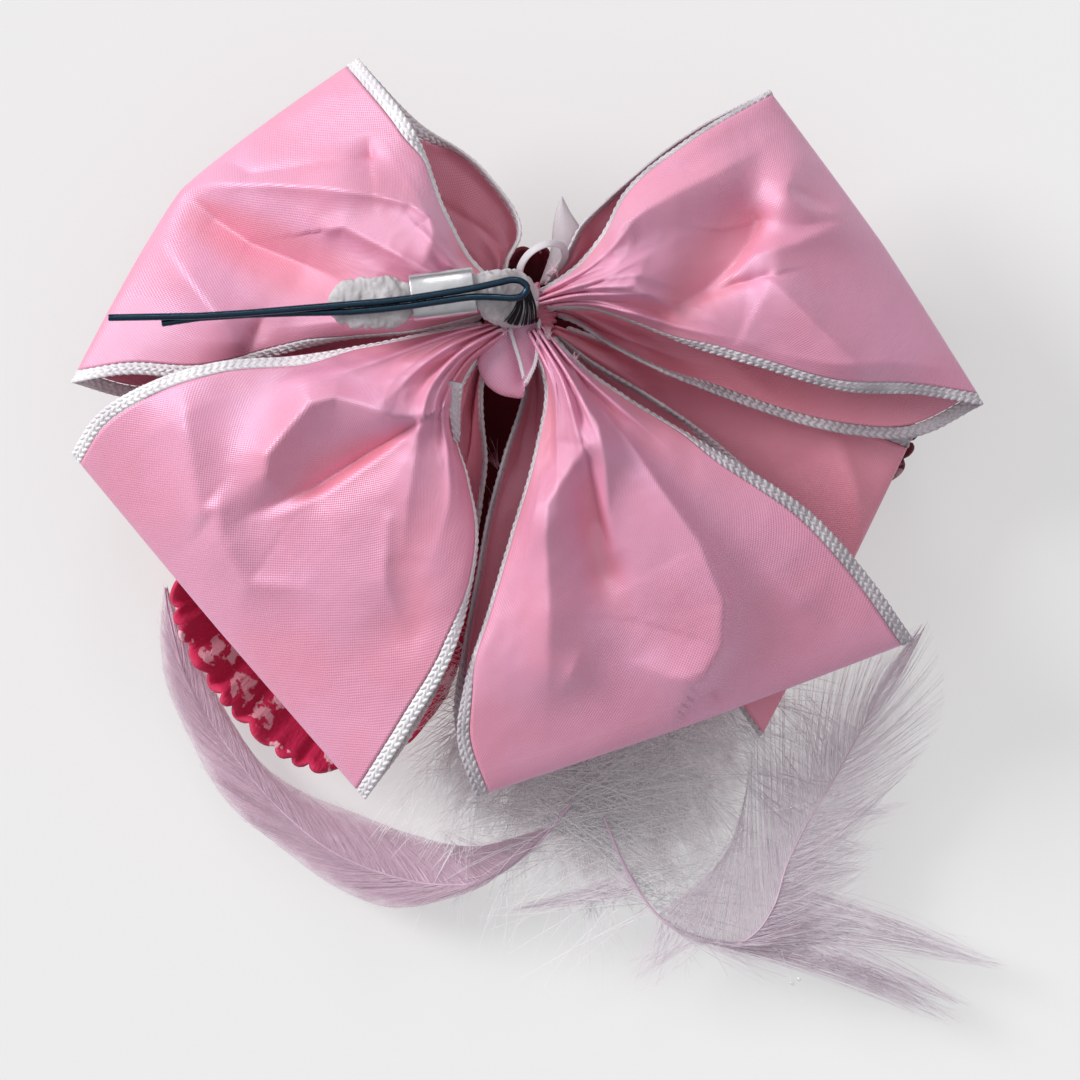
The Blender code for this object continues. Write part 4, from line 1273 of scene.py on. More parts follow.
UPPER_RIGHT = RibbonLoop(
    name="upper_right",
    over_near=[(532, 296, 36.3), (580, 262, 36.0), (602, 235, 37.0), (624, 194, 37.0), (690, 138, 34.0),
               (770, 90, 29.0)],
    over_far=[(533, 311, 36.3), (590, 309, 36.5), (636, 323, 37.5), (698, 348, 37.0), (767, 369, 35.5),
              (847, 391, 33.0), (920, 394, 30.0), (985, 404, 28.0)],
    under_near=[(538, 294, 26.5), (568, 250, 27.0), (581, 225, 26.0), (602, 204, 25.0), (640, 170, 23.5),
                (700, 126, 22.0), (770, 90, 22.0)],
    under_far=[(540, 311, 26.5), (575, 322, 28.0), (606, 342, 28.5), (652, 366, 28.0), (698, 386, 27.0),
               (755, 408, 25.5), (812, 426, 24.0), (858, 435, 23.0), (914, 437, 22.0), (985, 404, 22.0)],
    fold_height=25.0, fold_bow=0.9, puff=3.5, sag=0.5, cut_area=0.0033, flat_from=(1.3, 0.36), seed=12.1,
    braid_finish=SHADED_BRAID,
    pleats=[Pleat(0.16, 0.14, 2.6, 0.34, 0.045), Pleat(0.4, 0.34, 2.6, 0.3, 0.05), Pleat(0.62, 0.6, 2.4, 0.28, 0.05),
            Pleat(0.84, 0.86, 2.0, 0.36, 0.04)],
    ridges=[(795, 164, 788, 193, 1.8, 26), (788, 205, 838, 222, 1.6, 22), (752, 214, 670, 307, -1.3, 26),
            (616, 229, 720, 179, 1.6, 26), (770, 279, 863, 371, 1.6, 34),
            (812, 170, 905, 370, 2.4, 60)],
    creases=[
        Crease([(796, 163, 0.4), (789, 184, 1.6), (788, 198, 1.2), (808, 211, 1.2), (838, 214, 1.4),
                (841, 224, 1.2), (800, 242, 1.2), (756, 256, 1.0), (718, 290, 0.4)], 20, 14),
        Crease([(796, 190, -0.9), (820, 203, -0.8), (838, 206, 0.0)], 8, 8),
        Crease([(745, 210, -0.5), (756, 222, -1.2), (748, 246, -1.4), (734, 264, -1.5), (706, 289, -1.5),
                (672, 309, -0.6)], 10, 18, 3.0),
        Crease([(614, 232, 1.4), (640, 214, 1.6), (675, 194, 1.3), (720, 172, 0.8), (777, 138, 0.0)], 12, 20),
        Crease([(706, 297, -0.4), (735, 284, -1.3), (768, 276, -1.4)], 8, 12),
        Crease([(752, 277, 0.2), (770, 281, 1.4), (806, 314, 1.3), (863, 371, 0.5)], 16, 28),
        Crease([(556, 289, 0.8), (634, 286, 1.6), (674, 308, 0.6)], 8, 10),
        Crease([(559, 285, 0.6), (641, 275, 1.4), (672, 286, 0.3)], 8, 10),
    ],
)
REAR = RibbonLoop(
    name="rear",
    over_near=[(557, 322, 19.5), (640, 350, 19.0), (760, 385, 18.5), (850, 410, 18.0), (915, 435, 17.5)],
    over_far=[(534, 348, 19.5), (585, 450, 19.0), (645, 560, 18.5), (702, 650, 18.0), (762, 738, 17.5)],
    under_near=[(557, 322, 15.5), (640, 350, 14.2), (760, 385, 13.8), (850, 410, 13.8), (915, 435, 14.0)],
    under_far=[(534, 348, 15.5), (585, 450, 14.2), (645, 560, 13.8), (702, 650, 13.8), (762, 738, 14.0)],
    fold_height=15.75, fold_bow=0.4, puff=0.4, sag=0.2, cut_area=0.0026, flat_from=(0.3, 1.3),
    # Painted shade: the rear loop, in shadow under the others, has at least 0.7 of the shade pink everywhere.
    over_rows=60, under_rows=30, columns=60, least_painted_shade=0.7, seed=15.0, braid_finish=SHADED_BRAID,
    creases=[Crease([(840, 436, 0.6), (858, 490, 1.2), (866, 535, 0.8)], 14, 14)],
)


# ---- stem, sleeve and pin


@dataclass
class Stem:
    """The stem in its crumpled paper tape."""

    sections: list
    rings: int = 120
    sides: int = 56
    crumple: float = 0.34 * MM
    crumples_to_a_metre: float = 620.0
    pressed_from: float = 408.0
    pressed_to: float = 478.0
    pressed_crumple: float = 0.1

    def build(self) -> None:
        """Builds the wrapped stem."""
        rows = spline(self.sections, even(self.rings))
        middles = place(rows[:, :3])
        run = np.gradient(middles, axis=0)
        run[:, 2] *= 0.5
        run = unit(run)
        side = unit(np.cross([0.0, 0.0, 1.0], run))
        up = np.cross(run, side)
        angle = TAU * (np.arange(self.sides) + 0.5) / self.sides
        half = np.maximum(rows[:, 3:5], 0.15) * MM
        out = np.cos(angle)[None, :, None] * half[:, :1, None] * side[:, None]
        out = out + np.sin(angle)[None, :, None] * half[:, 1:, None] * up[:, None]
        grid = middles[:, None] + out
        pressed = (rows[:, 0] > self.pressed_from) & (rows[:, 0] < self.pressed_to)
        for i in range(self.rings):
            for j in range(self.sides):
                spot = Vector(grid[i, j] * self.crumples_to_a_metre)
                spot.x *= 1.5
                rough = 1.0 - 2.0 * abs(noise.noise(spot)) - abs(noise.noise(spot * 2.3 + Vector((3, 1, 7))))
                share = self.pressed_crumple if pressed[i] else 1.0
                grid[i, j] += unit(out[i, j]) * (rough - 0.35) * self.crumple * share
        faces = capped_faces(self.rings, self.sides, turned=False)
        register(PAPER.dress(new_object("paper_stem", grid, faces)), Slot.PAPER, "stem_tape")


@dataclass
class Sleeve:
    """The steel sleeve pressed flat round the stem."""

    ends: list
    height: float = 43.0
    half_width: float = 3.0 * MM
    half_depth: float = 1.55 * MM
    wall: float = 0.4 * MM
    lip: float = 0.12 * MM
    squareness: float = 0.92
    sides: int = 96

    def build(self) -> None:
        """Builds the sleeve with softened lips."""
        first, last = place([(*end, self.height) for end in self.ends])
        run = unit(last - first)
        side = unit(np.cross([0.0, 0.0, 1.0], run))
        angle = TAU * (np.arange(self.sides) + 0.5) / self.sides
        out = np.sign(np.cos(angle)) * np.abs(np.cos(angle)) ** self.squareness
        rise = np.sign(np.sin(angle)) * np.abs(np.sin(angle)) ** self.squareness
        half, lip = self.wall / 2, self.lip
        profile = [(0.0, half - lip), (0.006, half - lip * 0.3), (0.02, half), (0.3, half), (0.7, half),
                   (0.98, half), (0.994, half - lip * 0.3), (1.0, half - lip), (1.0, lip - half), (0.98, -half),
                   (0.02, -half), (0.0, lip - half)]
        rows = []
        for share, offset in profile:
            middle = first + (last - first) * share
            rows.append(middle + np.outer(out * (self.half_width + offset), side)
                        + np.outer(rise * (self.half_depth + offset), [0.0, 0.0, 1.0]))
        grid = np.array(rows)
        thing = new_object("steel_sleeve", grid, grid_faces(*grid.shape[:2], ring=True, loop=True))
        register(STEEL.dress(thing), Slot.STEEL, "ferrule")


@dataclass
class Pin:
    """The wire hair pin and the dark thread that ties its head down."""

    route: list
    head: tuple
    radius: float = 0.48 * MM
    height: float = 45.53
    threads: int = 22
    thread_radius: float = 0.09 * MM
    seed: int = 11

    def build(self) -> None:
        """Builds the wire and the thread."""
        first, last = self.head
        rows = np.array(self.route, float)
        bend = spline(rows[first:last + 1], even(60))
        rows = np.concatenate([rows[:first], bend, rows[last + 1:]])
        rows[:, 2] += self.height
        points = place(rows)
        lengths = np.concatenate([[0.0], np.cumsum(np.linalg.norm(np.diff(points, axis=0), axis=1))])
        fine = np.concatenate([[0.0, 0.2 * MM], np.linspace(0.8 * MM, lengths[-1] - 0.8 * MM, 240),
                               [lengths[-1] - 0.2 * MM, lengths[-1]]])
        path = np.stack([np.interp(fine, lengths, points[:, axis]) for axis in range(3)], axis=-1)
        radii = np.full(len(path), self.radius)
        radii[[0, -1]] *= 0.8
        wire = strands("wire_pin", path[None], radii[None], ENAMEL, 20)
        register(wire, Slot.PIN, "bobby_pin")
        register(self.binding(), Slot.THREAD)

    def binding(self) -> Thing:
        """Makes the thread that fans from the pin's head round the stem.

        Returns:
            The thread.
        """
        chance = np.random.default_rng(self.seed)
        paths = []
        for k in range(self.threads):
            share = k / (self.threads - 1)
            start = (519 + 11 * share, 299 - 9 * share, 45.2)
            foot = (503 + 36 * share + chance.normal(0, 1.2), 322 + 3.5 * math.sin(math.pi * share), 39.6)
            rows = [start, ((start[0] + foot[0]) / 2 + 2, (start[1] + foot[1]) / 2 + 1, 43.6 - share), foot,
                    (foot[0] + 1, foot[1] - 4, 37.4)]
            paths.append(place(spline(rows, even(12))))
        radii = np.full((1, 12), self.thread_radius)
        return strands("pin_thread", np.array(paths), radii, DARK_THREAD, 5)


@dataclass
class Tapes:
    """The white tape loop over the knot and the pointed tape end behind it."""

    route: list
    outline: list
    half_width: float = 0.62 * MM
    half_wall: float = 0.2 * MM
    tail_height: float = 22.0
    tail_wall: float = 0.35 * MM
    steps: int = 70
    sides: int = 12
    tail_rows: int = 24
    tail_columns: int = 9

    def build(self) -> None:
        """Builds both tapes."""
        steps, sides, rows, columns = self.steps, self.sides, self.tail_rows, self.tail_columns
        points = place(spline(self.route, even(steps)))
        run = along_rows(points)
        side = unit(np.cross(run, [0.0, 0.0, 1.0]))
        up = np.cross(side, run)
        angle = TAU * np.arange(sides) / sides
        ring = (np.cos(angle)[:, None, None] * self.half_width * (0.8 * side + 0.6 * up)
                + np.sin(angle)[:, None, None] * self.half_wall * (0.8 * up - 0.6 * side))
        grid = points[:, None] + ring.transpose(1, 0, 2)
        bow = new_object("tape_bow", grid, capped_faces(steps, sides))
        register(TAPE.dress(bow), Slot.TAPE, "tape_loop")
        left, right = (spline(edge, even(rows)) for edge in self.outline)
        share = even(columns)[None, :, None]
        plan = left[:, None] * (1 - share) + right[:, None] * share
        curl = 1.1 * np.cos(math.pi * (share[..., 0] - 0.5)) * np.linspace(0.3, 1.0, rows)[:, None]
        height = self.tail_height + curl
        tail = new_object("tape_end", place(np.dstack([plan, height])), grid_faces(rows, columns))
        thicken(tail, self.tail_wall)
        register(TAPE.dress(tail), Slot.TAPE, "tape_tail")


@dataclass
class Tab:
    """The rounded tab of ribbon over the knot, with its two fine braids."""

    left: list
    right: list
    cords: list
    bulge: float = 1.0
    dent: float = 1.0
    dent_width: float = 9.0
    wall: float = 0.5 * MM
    cord_height: float = 38.4
    cord_half_width: float = 1.5
    rows: int = 48
    columns: int = 40

    def build(self) -> None:
        """Builds the tab and its braids."""
        share = even(self.rows)
        left, right = spline(self.left, share), spline(self.right, share)
        v = even(self.columns)[None, :, None]
        points = left[:, None] * (1 - v) + right[:, None] * v
        lengthwise = np.sin(math.pi * (0.12 + 0.88 * share))[:, None] ** 0.5
        dome = np.sin(math.pi * np.clip(v[..., 0], 0, 1)) ** 0.6 * lengthwise
        points[..., 2] += self.bulge * dome
        valleys = [Crease([(x, y, -self.dent) for x, y in cord], self.dent_width, self.dent_width)
                   for cord in self.cords]
        points[..., 2] += crease_height(valleys, points[..., :2]) * dome
        grid = place(points)
        thing = new_object("ribbon_tab", grid, grid_faces(self.rows, self.columns))
        set_uv(thing, grid[..., :2])
        thicken(thing, self.wall)
        register(TAB_RIBBON.dress(thing), Slot.RIBBON, "centre_tab")
        for k, cord in enumerate(self.cords):
            line = spline([(x, y, self.cord_height) for x, y in cord], even(22))
            run = np.gradient(line[:, :2], axis=0)
            side = np.stack([-run[:, 1], run[:, 0]], -1) / np.linalg.norm(run, axis=1)[:, None]
            edges = []
            for reach in (-self.cord_half_width, self.cord_half_width):
                edge = line.copy()
                edge[:, :2] += side * reach
                edges.append(edge)
            strip = place(np.stack(edges, axis=1))
            piece = worked_strip(f"tab_braid_{k}", strip, 2, 0.25 * MM, (0.8 * MM, 0.28 * MM, 0.45 * MM),
                                 SHADED_BRAID)
            register(piece, Slot.BRAID)


@dataclass
class Knot:
    """The bound roots of the ribbon."""

    centre: tuple = (520.0, 314.0, 0.0)
    radius: float = 4.9 * MM
    profile: tuple = ((0.05, 35.5), (0.62, 35.4), (0.9, 34.6), (1.0, 31.0), (0.9, 24.0), (0.97, 18.0),
                      (1.0, 13.2), (0.85, 12.05), (0.05, 12.0))
    lobes: int = 30
    fold: float = 0.05
    rows: int = 32
    sides: int = 180

    def build(self) -> None:
        """Builds the bundle, pleated all round."""
        rows, sides = self.rows, self.sides
        table = np.array(self.profile)
        share = np.linspace(0.0, len(table) - 1.0, rows)
        radius = np.interp(share, range(len(table)), table[:, 0]) * self.radius
        height = np.interp(share, range(len(table)), table[:, 1]) * MM
        angle = TAU * np.arange(sides) / sides
        fold = 1.0 + self.fold * np.cos(self.lobes * angle + 2 * np.sin(3 * angle))
        middle = place(self.centre)
        grid = np.empty((rows, sides, 3))
        grid[..., 0] = middle[0] + radius[:, None] * fold * np.cos(angle)
        grid[..., 1] = middle[1] + radius[:, None] * fold * np.sin(angle)
        grid[..., 2] = height[:, None]
        bundle = new_object("bound_roots", grid, capped_faces(rows, sides))
        register(SHADED_ROOTS.dress(bundle), Slot.THREAD, "gather_knot")


# ---- flower


@dataclass
class Petal:
    """One petal of crepe with a scalloped edge, flat where it lies. Angles in degrees, lengths in mm."""

    name: str
    direction: float
    half_angle: float
    reach: float
    rim: float
    seat: float
    cut_area: float
    centre: tuple = (535.0, 440.0, 0.0)
    root: float = 6.0
    wall: float = 0.6
    scallop: float = 3.4
    scallop_depth: float = 1.3
    finish: Finish = CRIMSON
    rows: int = 44
    columns: int = 132

    def build(self) -> None:
        rows, columns = self.rows, self.columns
        share = even(rows) ** 0.9
        side = np.linspace(-1.0, 1.0, columns)
        angle = np.radians(self.direction + self.half_angle * side)
        outline = self.reach * (1 - 0.34 * np.abs(side) ** 4)
        arc = np.radians(self.half_angle) * side * self.reach
        wave = np.abs(np.cos(math.pi * arc / self.scallop + 0.7 * np.sin(arc * 0.5)))
        scallops = -self.scallop_depth * (1 - wave**0.6)
        edge = np.clip((share - 0.8) / 0.2, 0.0, 1.0)[:, None] ** 2
        radius = self.root + (outline - self.root) * share[:, None] + scallops * edge
        knots = [0.0, 0.28, 0.5, self.seat, (1 + self.seat) / 2, 1.0]
        heights = [8.6, 3.4, 0.5, 0.5, self.rim * 0.42, self.rim]
        lift = np.interp(share, knots, heights)[:, None]
        drop = 1 - 0.55 * np.abs(side) ** 4 * (share[:, None] > self.seat)
        folds = 0.5 * np.sin(arc * 1.1 + 2.0 * share[:, None]) * (lift - 0.5) / 8.0
        curl = 0.5 * np.sin(arc * 0.9 + 1.0) * edge
        height = np.maximum(lift * drop + folds + curl, self.wall / 2)
        middle = place(self.centre)
        grid = np.stack([middle[0] + np.cos(angle) * radius * MM, middle[1] + np.sin(angle) * radius * MM,
                         height * MM], axis=-1)
        thing = new_object(f"crepe_{self.name}", grid, grid_faces(rows, columns))
        set_uv(thing, np.stack([np.broadcast_to(arc * MM, (rows, columns)),
                                np.broadcast_to(radius * MM, (rows, columns))], -1))
        thicken(thing, self.wall * MM)
        register(self.finish.dress(thing), Slot.CRIMSON, f"petal_{self.name}")


@dataclass
class Flower:
    """The petals, their round backing and their stuffed heart."""

    petals: list
    centre: tuple = (535.0, 440.0, 0.0)
    backing_radius: float = 17.0
    backing: tuple = (10.0, 11.7)
    heart_half: tuple = (5.3, 5.3, 2.7)
    heart_height: float = 7.0
    heart_fold: float = 0.06
    sides: int = 96

    def build(self) -> None:
        """Builds the flower."""
        for petal in self.petals:
            petal.build()
        angle = TAU * np.arange(self.sides) / self.sides
        low, high = self.backing
        profile = [(0.05, high), (0.9, high), (0.985, high - 0.12), (1.0, high - 0.5), (1.0, low + 0.5),
                   (0.985, low + 0.12), (0.9, low), (0.05, low)]
        self.turned("felt_backing", profile, angle, self.backing_radius, 0.0, "flower_base")
        steps = np.linspace(0.04, math.pi - 0.04, 26)
        ball = [(math.sin(t), self.heart_height + self.heart_half[2] * math.cos(t)) for t in steps]
        self.turned("crepe_heart", ball, angle, self.heart_half[0], self.heart_fold, "flower_heart")

    def turned(self, name: str, profile: list, angle: Array, radius: float, fold: float, node: str) -> None:
        """Builds a form turned about the flower's middle.

        Args:
            name: The piece's name.
            profile: Share of the radius, and height in millimetres, from the top down.
            angle: The angles of its columns.
            radius: Its radius in millimetres.
            fold: The depth of its radial folds, as a share of the radius.
            node: The solid that it stands for.
        """
        middle = place(self.centre)
        crimp = 1.0 + fold * np.cos(12 * angle)
        grid = np.array([[(middle[0] + share * radius * MM * c * math.cos(a),
                           middle[1] + share * radius * MM * c * math.sin(a), height * MM)
                          for a, c in zip(angle, crimp)] for share, height in profile])
        thing = new_object(name, grid, capped_faces(len(profile), len(angle)))
        set_uv(thing, grid[..., :2])
        register(FELT.dress(thing), Slot.CRIMSON, node)


# ---- feathers


class Lock(NamedTuple):
    """Barbs that run together: from and to shares of the quill, the tip, its height, count and spread."""

    start: float
    stop: float
    across: float
    down: float
    height: float
    count: int
    spread: float


@dataclass
class Feather:
    """A curled feather: its web, its quill and its barbs."""

    name: str
    quill: list
    outer: list
    inner: list
    locks: list
    outer_lean: float
    inner_lean: float
    web_from: float
    web_to: float
    barbs: int
    seed: int
    fray: float = 0.05
    web_finish: Finish = WHITE_WEB
    barb_finish: Finish = WHITE_BARB
    barb_radius: float = 0.04 * MM
    quill_radius: float = 0.2 * MM
    quill_lift: float = 0.45
    web_wall: float = 0.12 * MM

    def web(self) -> Thing:
        """Makes the thin web between the quill and both edges.

        Returns:
            The web.
        """
        rows, columns = 160, 12
        share = np.linspace(self.web_from, self.web_to, rows)
        middle = spline(self.quill, share)
        sides = [spline(edge, np.clip(share - lean, 0.0, 1.0))
                 for edge, lean in ((self.outer, self.outer_lean), (self.inner, self.inner_lean))]
        across = np.concatenate([np.linspace(1.0, 0.0, columns)[:-1], even(columns)])
        points = np.empty((rows, len(across), 3))
        for k, out in enumerate(across):
            rim = sides[0] if k < columns - 1 else sides[1]
            points[:, k] = middle * (1 - out) + rim * out
            points[:, k, 2] += self.quill_lift * (1 - out**2) - 0.1
        thing = new_object(f"{self.name}_web", place(points), grid_faces(rows, len(across)))
        length = np.linalg.norm(np.diff(place(middle), axis=0), axis=1).sum()
        run = np.repeat((share * length)[:, None], len(across), 1)
        set_uv(thing, np.stack([np.repeat(across[None, :], rows, 0), run], -1))
        thicken(thing, self.web_wall)
        return self.web_finish.dress(thing)

    def barb_paths(self) -> tuple:
        """Lays the barbs, single and in locks.

        Returns:
            Their paths in metres, and the radius along one.
        """
        chance = np.random.default_rng(self.seed)
        steps = even(7)
        paths = []
        for edge, lean in ((self.outer, self.outer_lean), (self.inner, self.inner_lean)):
            share = np.linspace(self.web_from, self.web_to, self.barbs) + chance.normal(0, 0.002, self.barbs)
            root = spline(self.quill, share)
            tip = spline(edge, np.clip(share - lean * chance.normal(1.0, 0.12, self.barbs), 0.0, 1.0))
            tip = root + (tip - root) * np.minimum(chance.normal(1.0, self.fray, self.barbs), 1.12)[:, None]
            elbow = root * 0.5 + tip * 0.5 + (spline(edge, np.clip(share, 0, 1)) - tip) * 0.18
            for a, b, c in zip(root, elbow, tip):
                t = steps[:, None]
                path = a * (1 - t) ** 2 + b * 2 * t * (1 - t) + c * t**2
                path[:, 2] += 0.5 + 0.25 * np.sin(math.pi * steps)
                paths.append(path)
        for lock in self.locks:
            share = np.linspace(lock.start, lock.stop, lock.count)
            root = spline(self.quill, share)
            tip = np.array([lock.across, lock.down, lock.height]) + chance.normal(0, 1, (lock.count, 3)) * [
                lock.spread, lock.spread, 0.25]
            long = chance.uniform(0.72, 1.0, lock.count)[:, None]
            tip = root + (tip - root) * long
            bend = np.cross(tip - root, [0, 0, 1.0]) * chance.normal(0.06, 0.03, lock.count)[:, None]
            for a, b, c in zip(root, (root + tip) / 2 + bend, tip):
                t = steps[:, None]
                paths.append(a * (1 - t) ** 2 + b * 2 * t * (1 - t) + c * t**2 + [0, 0, 0.3])
        return place(np.array(paths)), self.barb_radius * (1.0 - 0.65 * steps)

    def build(self) -> None:
        """Builds the web, the quill and the barbs."""
        register(self.web(), Slot.FEATHER, self.name)
        rows = spline(self.quill, even(120))
        rows[:, 2] += self.quill_lift
        radii = self.quill_radius * np.linspace(0.3, 1.0, 120)
        register(strands(f"{self.name}_quill", place(rows)[None], radii[None], QUILL, 8), Slot.FEATHER)
        paths, radii = self.barb_paths()
        register(strands(f"{self.name}_barbs", paths, radii[None], self.barb_finish), Slot.FEATHER)


SHAFTS = [[(480, 660), (515, 750), (560, 835)], [(560, 640), (566, 740), (572, 850)],
          [(640, 640), (610, 740), (580, 850)], [(716, 640), (670, 740), (600, 860)],
          [(570, 770), (600, 850), (660, 915)]]


@dataclass
class Down:
    """The tuft of down: plumes that fan from one root, with hairs to both sides, and longer loose hairs.

    Angles are in degrees, reaches in millimetres.
    """

    locks: list
    shafts: list
    root: tuple = (562.0, 552.0)
    root_height: float = 12.8
    tip_height: float = 4.0
    plumes: int = 22
    hairs: int = 44
    long_hairs: int = 1100
    radius: float = 0.05 * MM
    full_reach: float = 58.0
    haze_wall: float = 0.12 * MM
    seed: int = 3

    def build(self) -> None:
        """Builds the hairs and the mat under them, whose dark tone is painted shadow."""
        chance = np.random.default_rng(self.seed)
        table = np.array(self.locks, float)
        steps = even(9)
        paths = []
        for k in range(self.plumes):
            where = (k + chance.uniform(0.0, 1.0)) / self.plumes * (len(table) - 1.0)
            angle = np.interp(where, range(len(table)), table[:, 0])
            reach = np.interp(where, range(len(table)), table[:, 1]) * chance.uniform(0.72, 0.98)
            bend = chance.normal(0.0, 7.0)
            lift = chance.uniform(-0.8, 1.6)
            for side in (-1.0, 1.0):
                start = np.sort(chance.uniform(0.2, 0.93, self.hairs // 2))
                long = chance.uniform(12.0, 24.0, len(start)) * (1.1 - 0.6 * start)
                lean = chance.normal(29.0, 9.0, len(start)) * (1.1 - 0.5 * start)
                curl = chance.normal(-12.0, 11.0, len(start))
                for share, length, tilt, turn in zip(start, long, lean, curl):
                    paths.append(self.hair(angle + bend * share, reach * share, length, side * tilt, side * turn,
                                           lift + chance.normal(0.0, 0.4), steps))
        for _ in range(self.long_hairs):
            shaft = self.shafts[chance.integers(len(self.shafts))]
            across, down = spline(shaft, chance.uniform(0.0, 1.0))[0]
            way = chance.uniform(-30.0, 52.0) if chance.uniform() < 0.6 else chance.uniform(120.0, 215.0)
            turn = chance.uniform(-10.0, 50.0) * (-1.0 if abs(way) < 90 else 1.0)
            angle = math.degrees(math.atan2(self.root[1] - down, across - self.root[0]))
            out = math.hypot(across - self.root[0], down - self.root[1]) * STEP / MM
            paths.append(self.hair(angle, out, chance.uniform(8.0, 24.0), way - angle, turn,
                                   chance.uniform(0.2, 2.8), steps))
        radii = self.radius * np.ones((len(paths), 1)) * (1.0 - 0.6 * steps)
        radii[-self.long_hairs:] *= 1.3
        hairs = strands("down_hairs", place(np.array(paths)), radii, DOWN_HAIR)
        register(hairs, Slot.FEATHER, "down_tuft")
        register(self.haze(), Slot.FEATHER)

    def haze(self) -> Thing:
        """Makes the thin mat of the finest down under the hairs, darkened as painted shadow.

        Returns:
            The mat.
        """
        rows, columns = 24, 72
        table = np.array(self.locks, float)
        where = np.linspace(0.0, len(table) - 1.0, columns)
        angle = np.radians(np.interp(where, range(len(table)), table[:, 0]))
        share = even(rows)[:, None]
        out = (0.25 + 0.73 * share) * np.interp(where, range(len(table)), table[:, 1])
        height = self.root_height - 0.9 - (self.root_height - self.tip_height) * (out / self.full_reach) ** 1.8
        across = self.root[0] + np.cos(angle) * out * MM / STEP
        down = self.root[1] - np.sin(angle) * out * MM / STEP
        thing = new_object("down_haze_and_shadow", place(np.dstack([across, down, height])), grid_faces(rows, columns))
        side = np.abs(np.linspace(-1.0, 1.0, columns)) ** 3
        set_uv(thing, np.dstack([np.maximum(1.25 * share, 1.25 * side), np.broadcast_to(angle * 0.04, out.shape)]))
        thicken(thing, self.haze_wall)
        return HAZE_AND_SHADOW.dress(thing)

    def hair(self, angle: float, out: float, length: float, tilt: float, turn: float, lift: float,
             steps: Array) -> Array:
        """One curved hair.

        Args:
            angle: The direction from the tuft's root to the hair's.
            out: How far out the hair's root is.
            length: The hair's length.
            tilt: How far it leans from its plume's direction.
            turn: How far it has turned at its tip.
            lift: How high it lies over the plume's middle.
            steps: Shares of the length of its points.

        Returns:
            Across, down and height of its points.
        """
        base = math.radians(angle)
        course = np.radians(angle + tilt + turn * steps)
        seg = length / (len(steps) - 1) * MM / STEP
        sideways, upward = (np.concatenate([[0], np.cumsum(turned(course[1:]))]) for turned in (np.cos, np.sin))
        across = self.root[0] + math.cos(base) * out * MM / STEP + sideways * seg
        down = self.root[1] - math.sin(base) * out * MM / STEP - upward * seg
        far = np.hypot(across - self.root[0], down - self.root[1]) * STEP / MM / self.full_reach
        height = self.root_height - (self.root_height - self.tip_height) * np.minimum(far, 1.1) ** 1.8
        height = height + lift + 0.5 * np.sin(math.pi * steps)
        return np.stack([across, down, np.maximum(height, 0.4)], axis=-1)


@dataclass
class Beads:
    """Small clear beads on fine threads among the feathers."""

    spots: list
    threads: list
    thread_radius: float = 0.035 * MM
    steps: int = 8
    sides: int = 12

    def build(self) -> None:
        """Builds the beads and their threads."""
        verts, faces = [], []
        steps, sides = self.steps, self.sides
        for across, down, height, radius in self.spots:
            middle = place((across, down, height))
            base = len(verts)
            for i in range(steps + 1):
                tilt = 0.12 + (math.pi - 0.24) * i / steps
                for j in range(sides):
                    turn = TAU * j / sides
                    verts.append(middle + radius * MM * np.array([math.sin(tilt) * math.cos(turn),
                                                                  math.sin(tilt) * math.sin(turn), math.cos(tilt)]))
            faces += [tuple(base + k for k in face) for face in capped_faces(steps + 1, sides)]
        register(BEAD.dress(new_object("clear_beads", np.array(verts), faces)), Slot.FEATHER)
        paths = np.array([place(spline(rows, even(10))) for rows in self.threads])
        register(strands("bead_threads", paths, np.full((1, 10), self.thread_radius), DOWN_HAIR), Slot.FEATHER)


# ---- loose threads


class Fray(NamedTuple):
    """A frayed end: its place and height, the way its threads run, their length, spread and count."""

    across: float
    down: float
    height: float
    heading: float
    length: float
    spread: float
    count: int


@dataclass
class LooseThreads:
    """Frayed threads where the ribbon was cut, a few single curled ones and the braids' flared ends."""

    frays: list
    curls: list
    flares: list
    radius: float = 0.05 * MM
    seed: int = 17

    def build(self) -> None:
        """Builds all the threads."""
        chance = np.random.default_rng(self.seed)
        steps = even(8)
        paths = []
        for fray in self.frays:
            for _ in range(fray.count):
                course = np.radians(fray.heading + chance.normal(0, fray.spread) + chance.normal(0, 40.0) * steps)
                seg = fray.length * chance.uniform(0.5, 1.0) / (len(steps) - 1)
                start = chance.normal(0, 1.6, 2)
                across = fray.across + start[0] + np.cumsum(np.cos(course)) * seg
                down = fray.down + start[1] - np.cumsum(np.sin(course)) * seg
                height = fray.height + chance.uniform(-0.4, 0.6) * (1 - 2 * steps)
                paths.append(np.stack([across, down, height], axis=-1))
        paths += [spline(curl, steps) for curl in self.curls]
        radii = self.radius * (1.0 - 0.5 * steps)
        register(strands("frayed_threads", place(np.array(paths)), radii[None], FRAY), Slot.RIBBON)
        for k, edges in enumerate(self.flares):
            grid = np.stack([place(spline(edge, even(9))) for edge in edges], axis=1)
            end = worked_strip(f"braid_end_{k}", grid, 4, 0.25 * MM, (1.1 * MM, 0.4 * MM, 0.4 * MM), SHADED_BRAID)
            register(end, Slot.BRAID)


# ---- studio


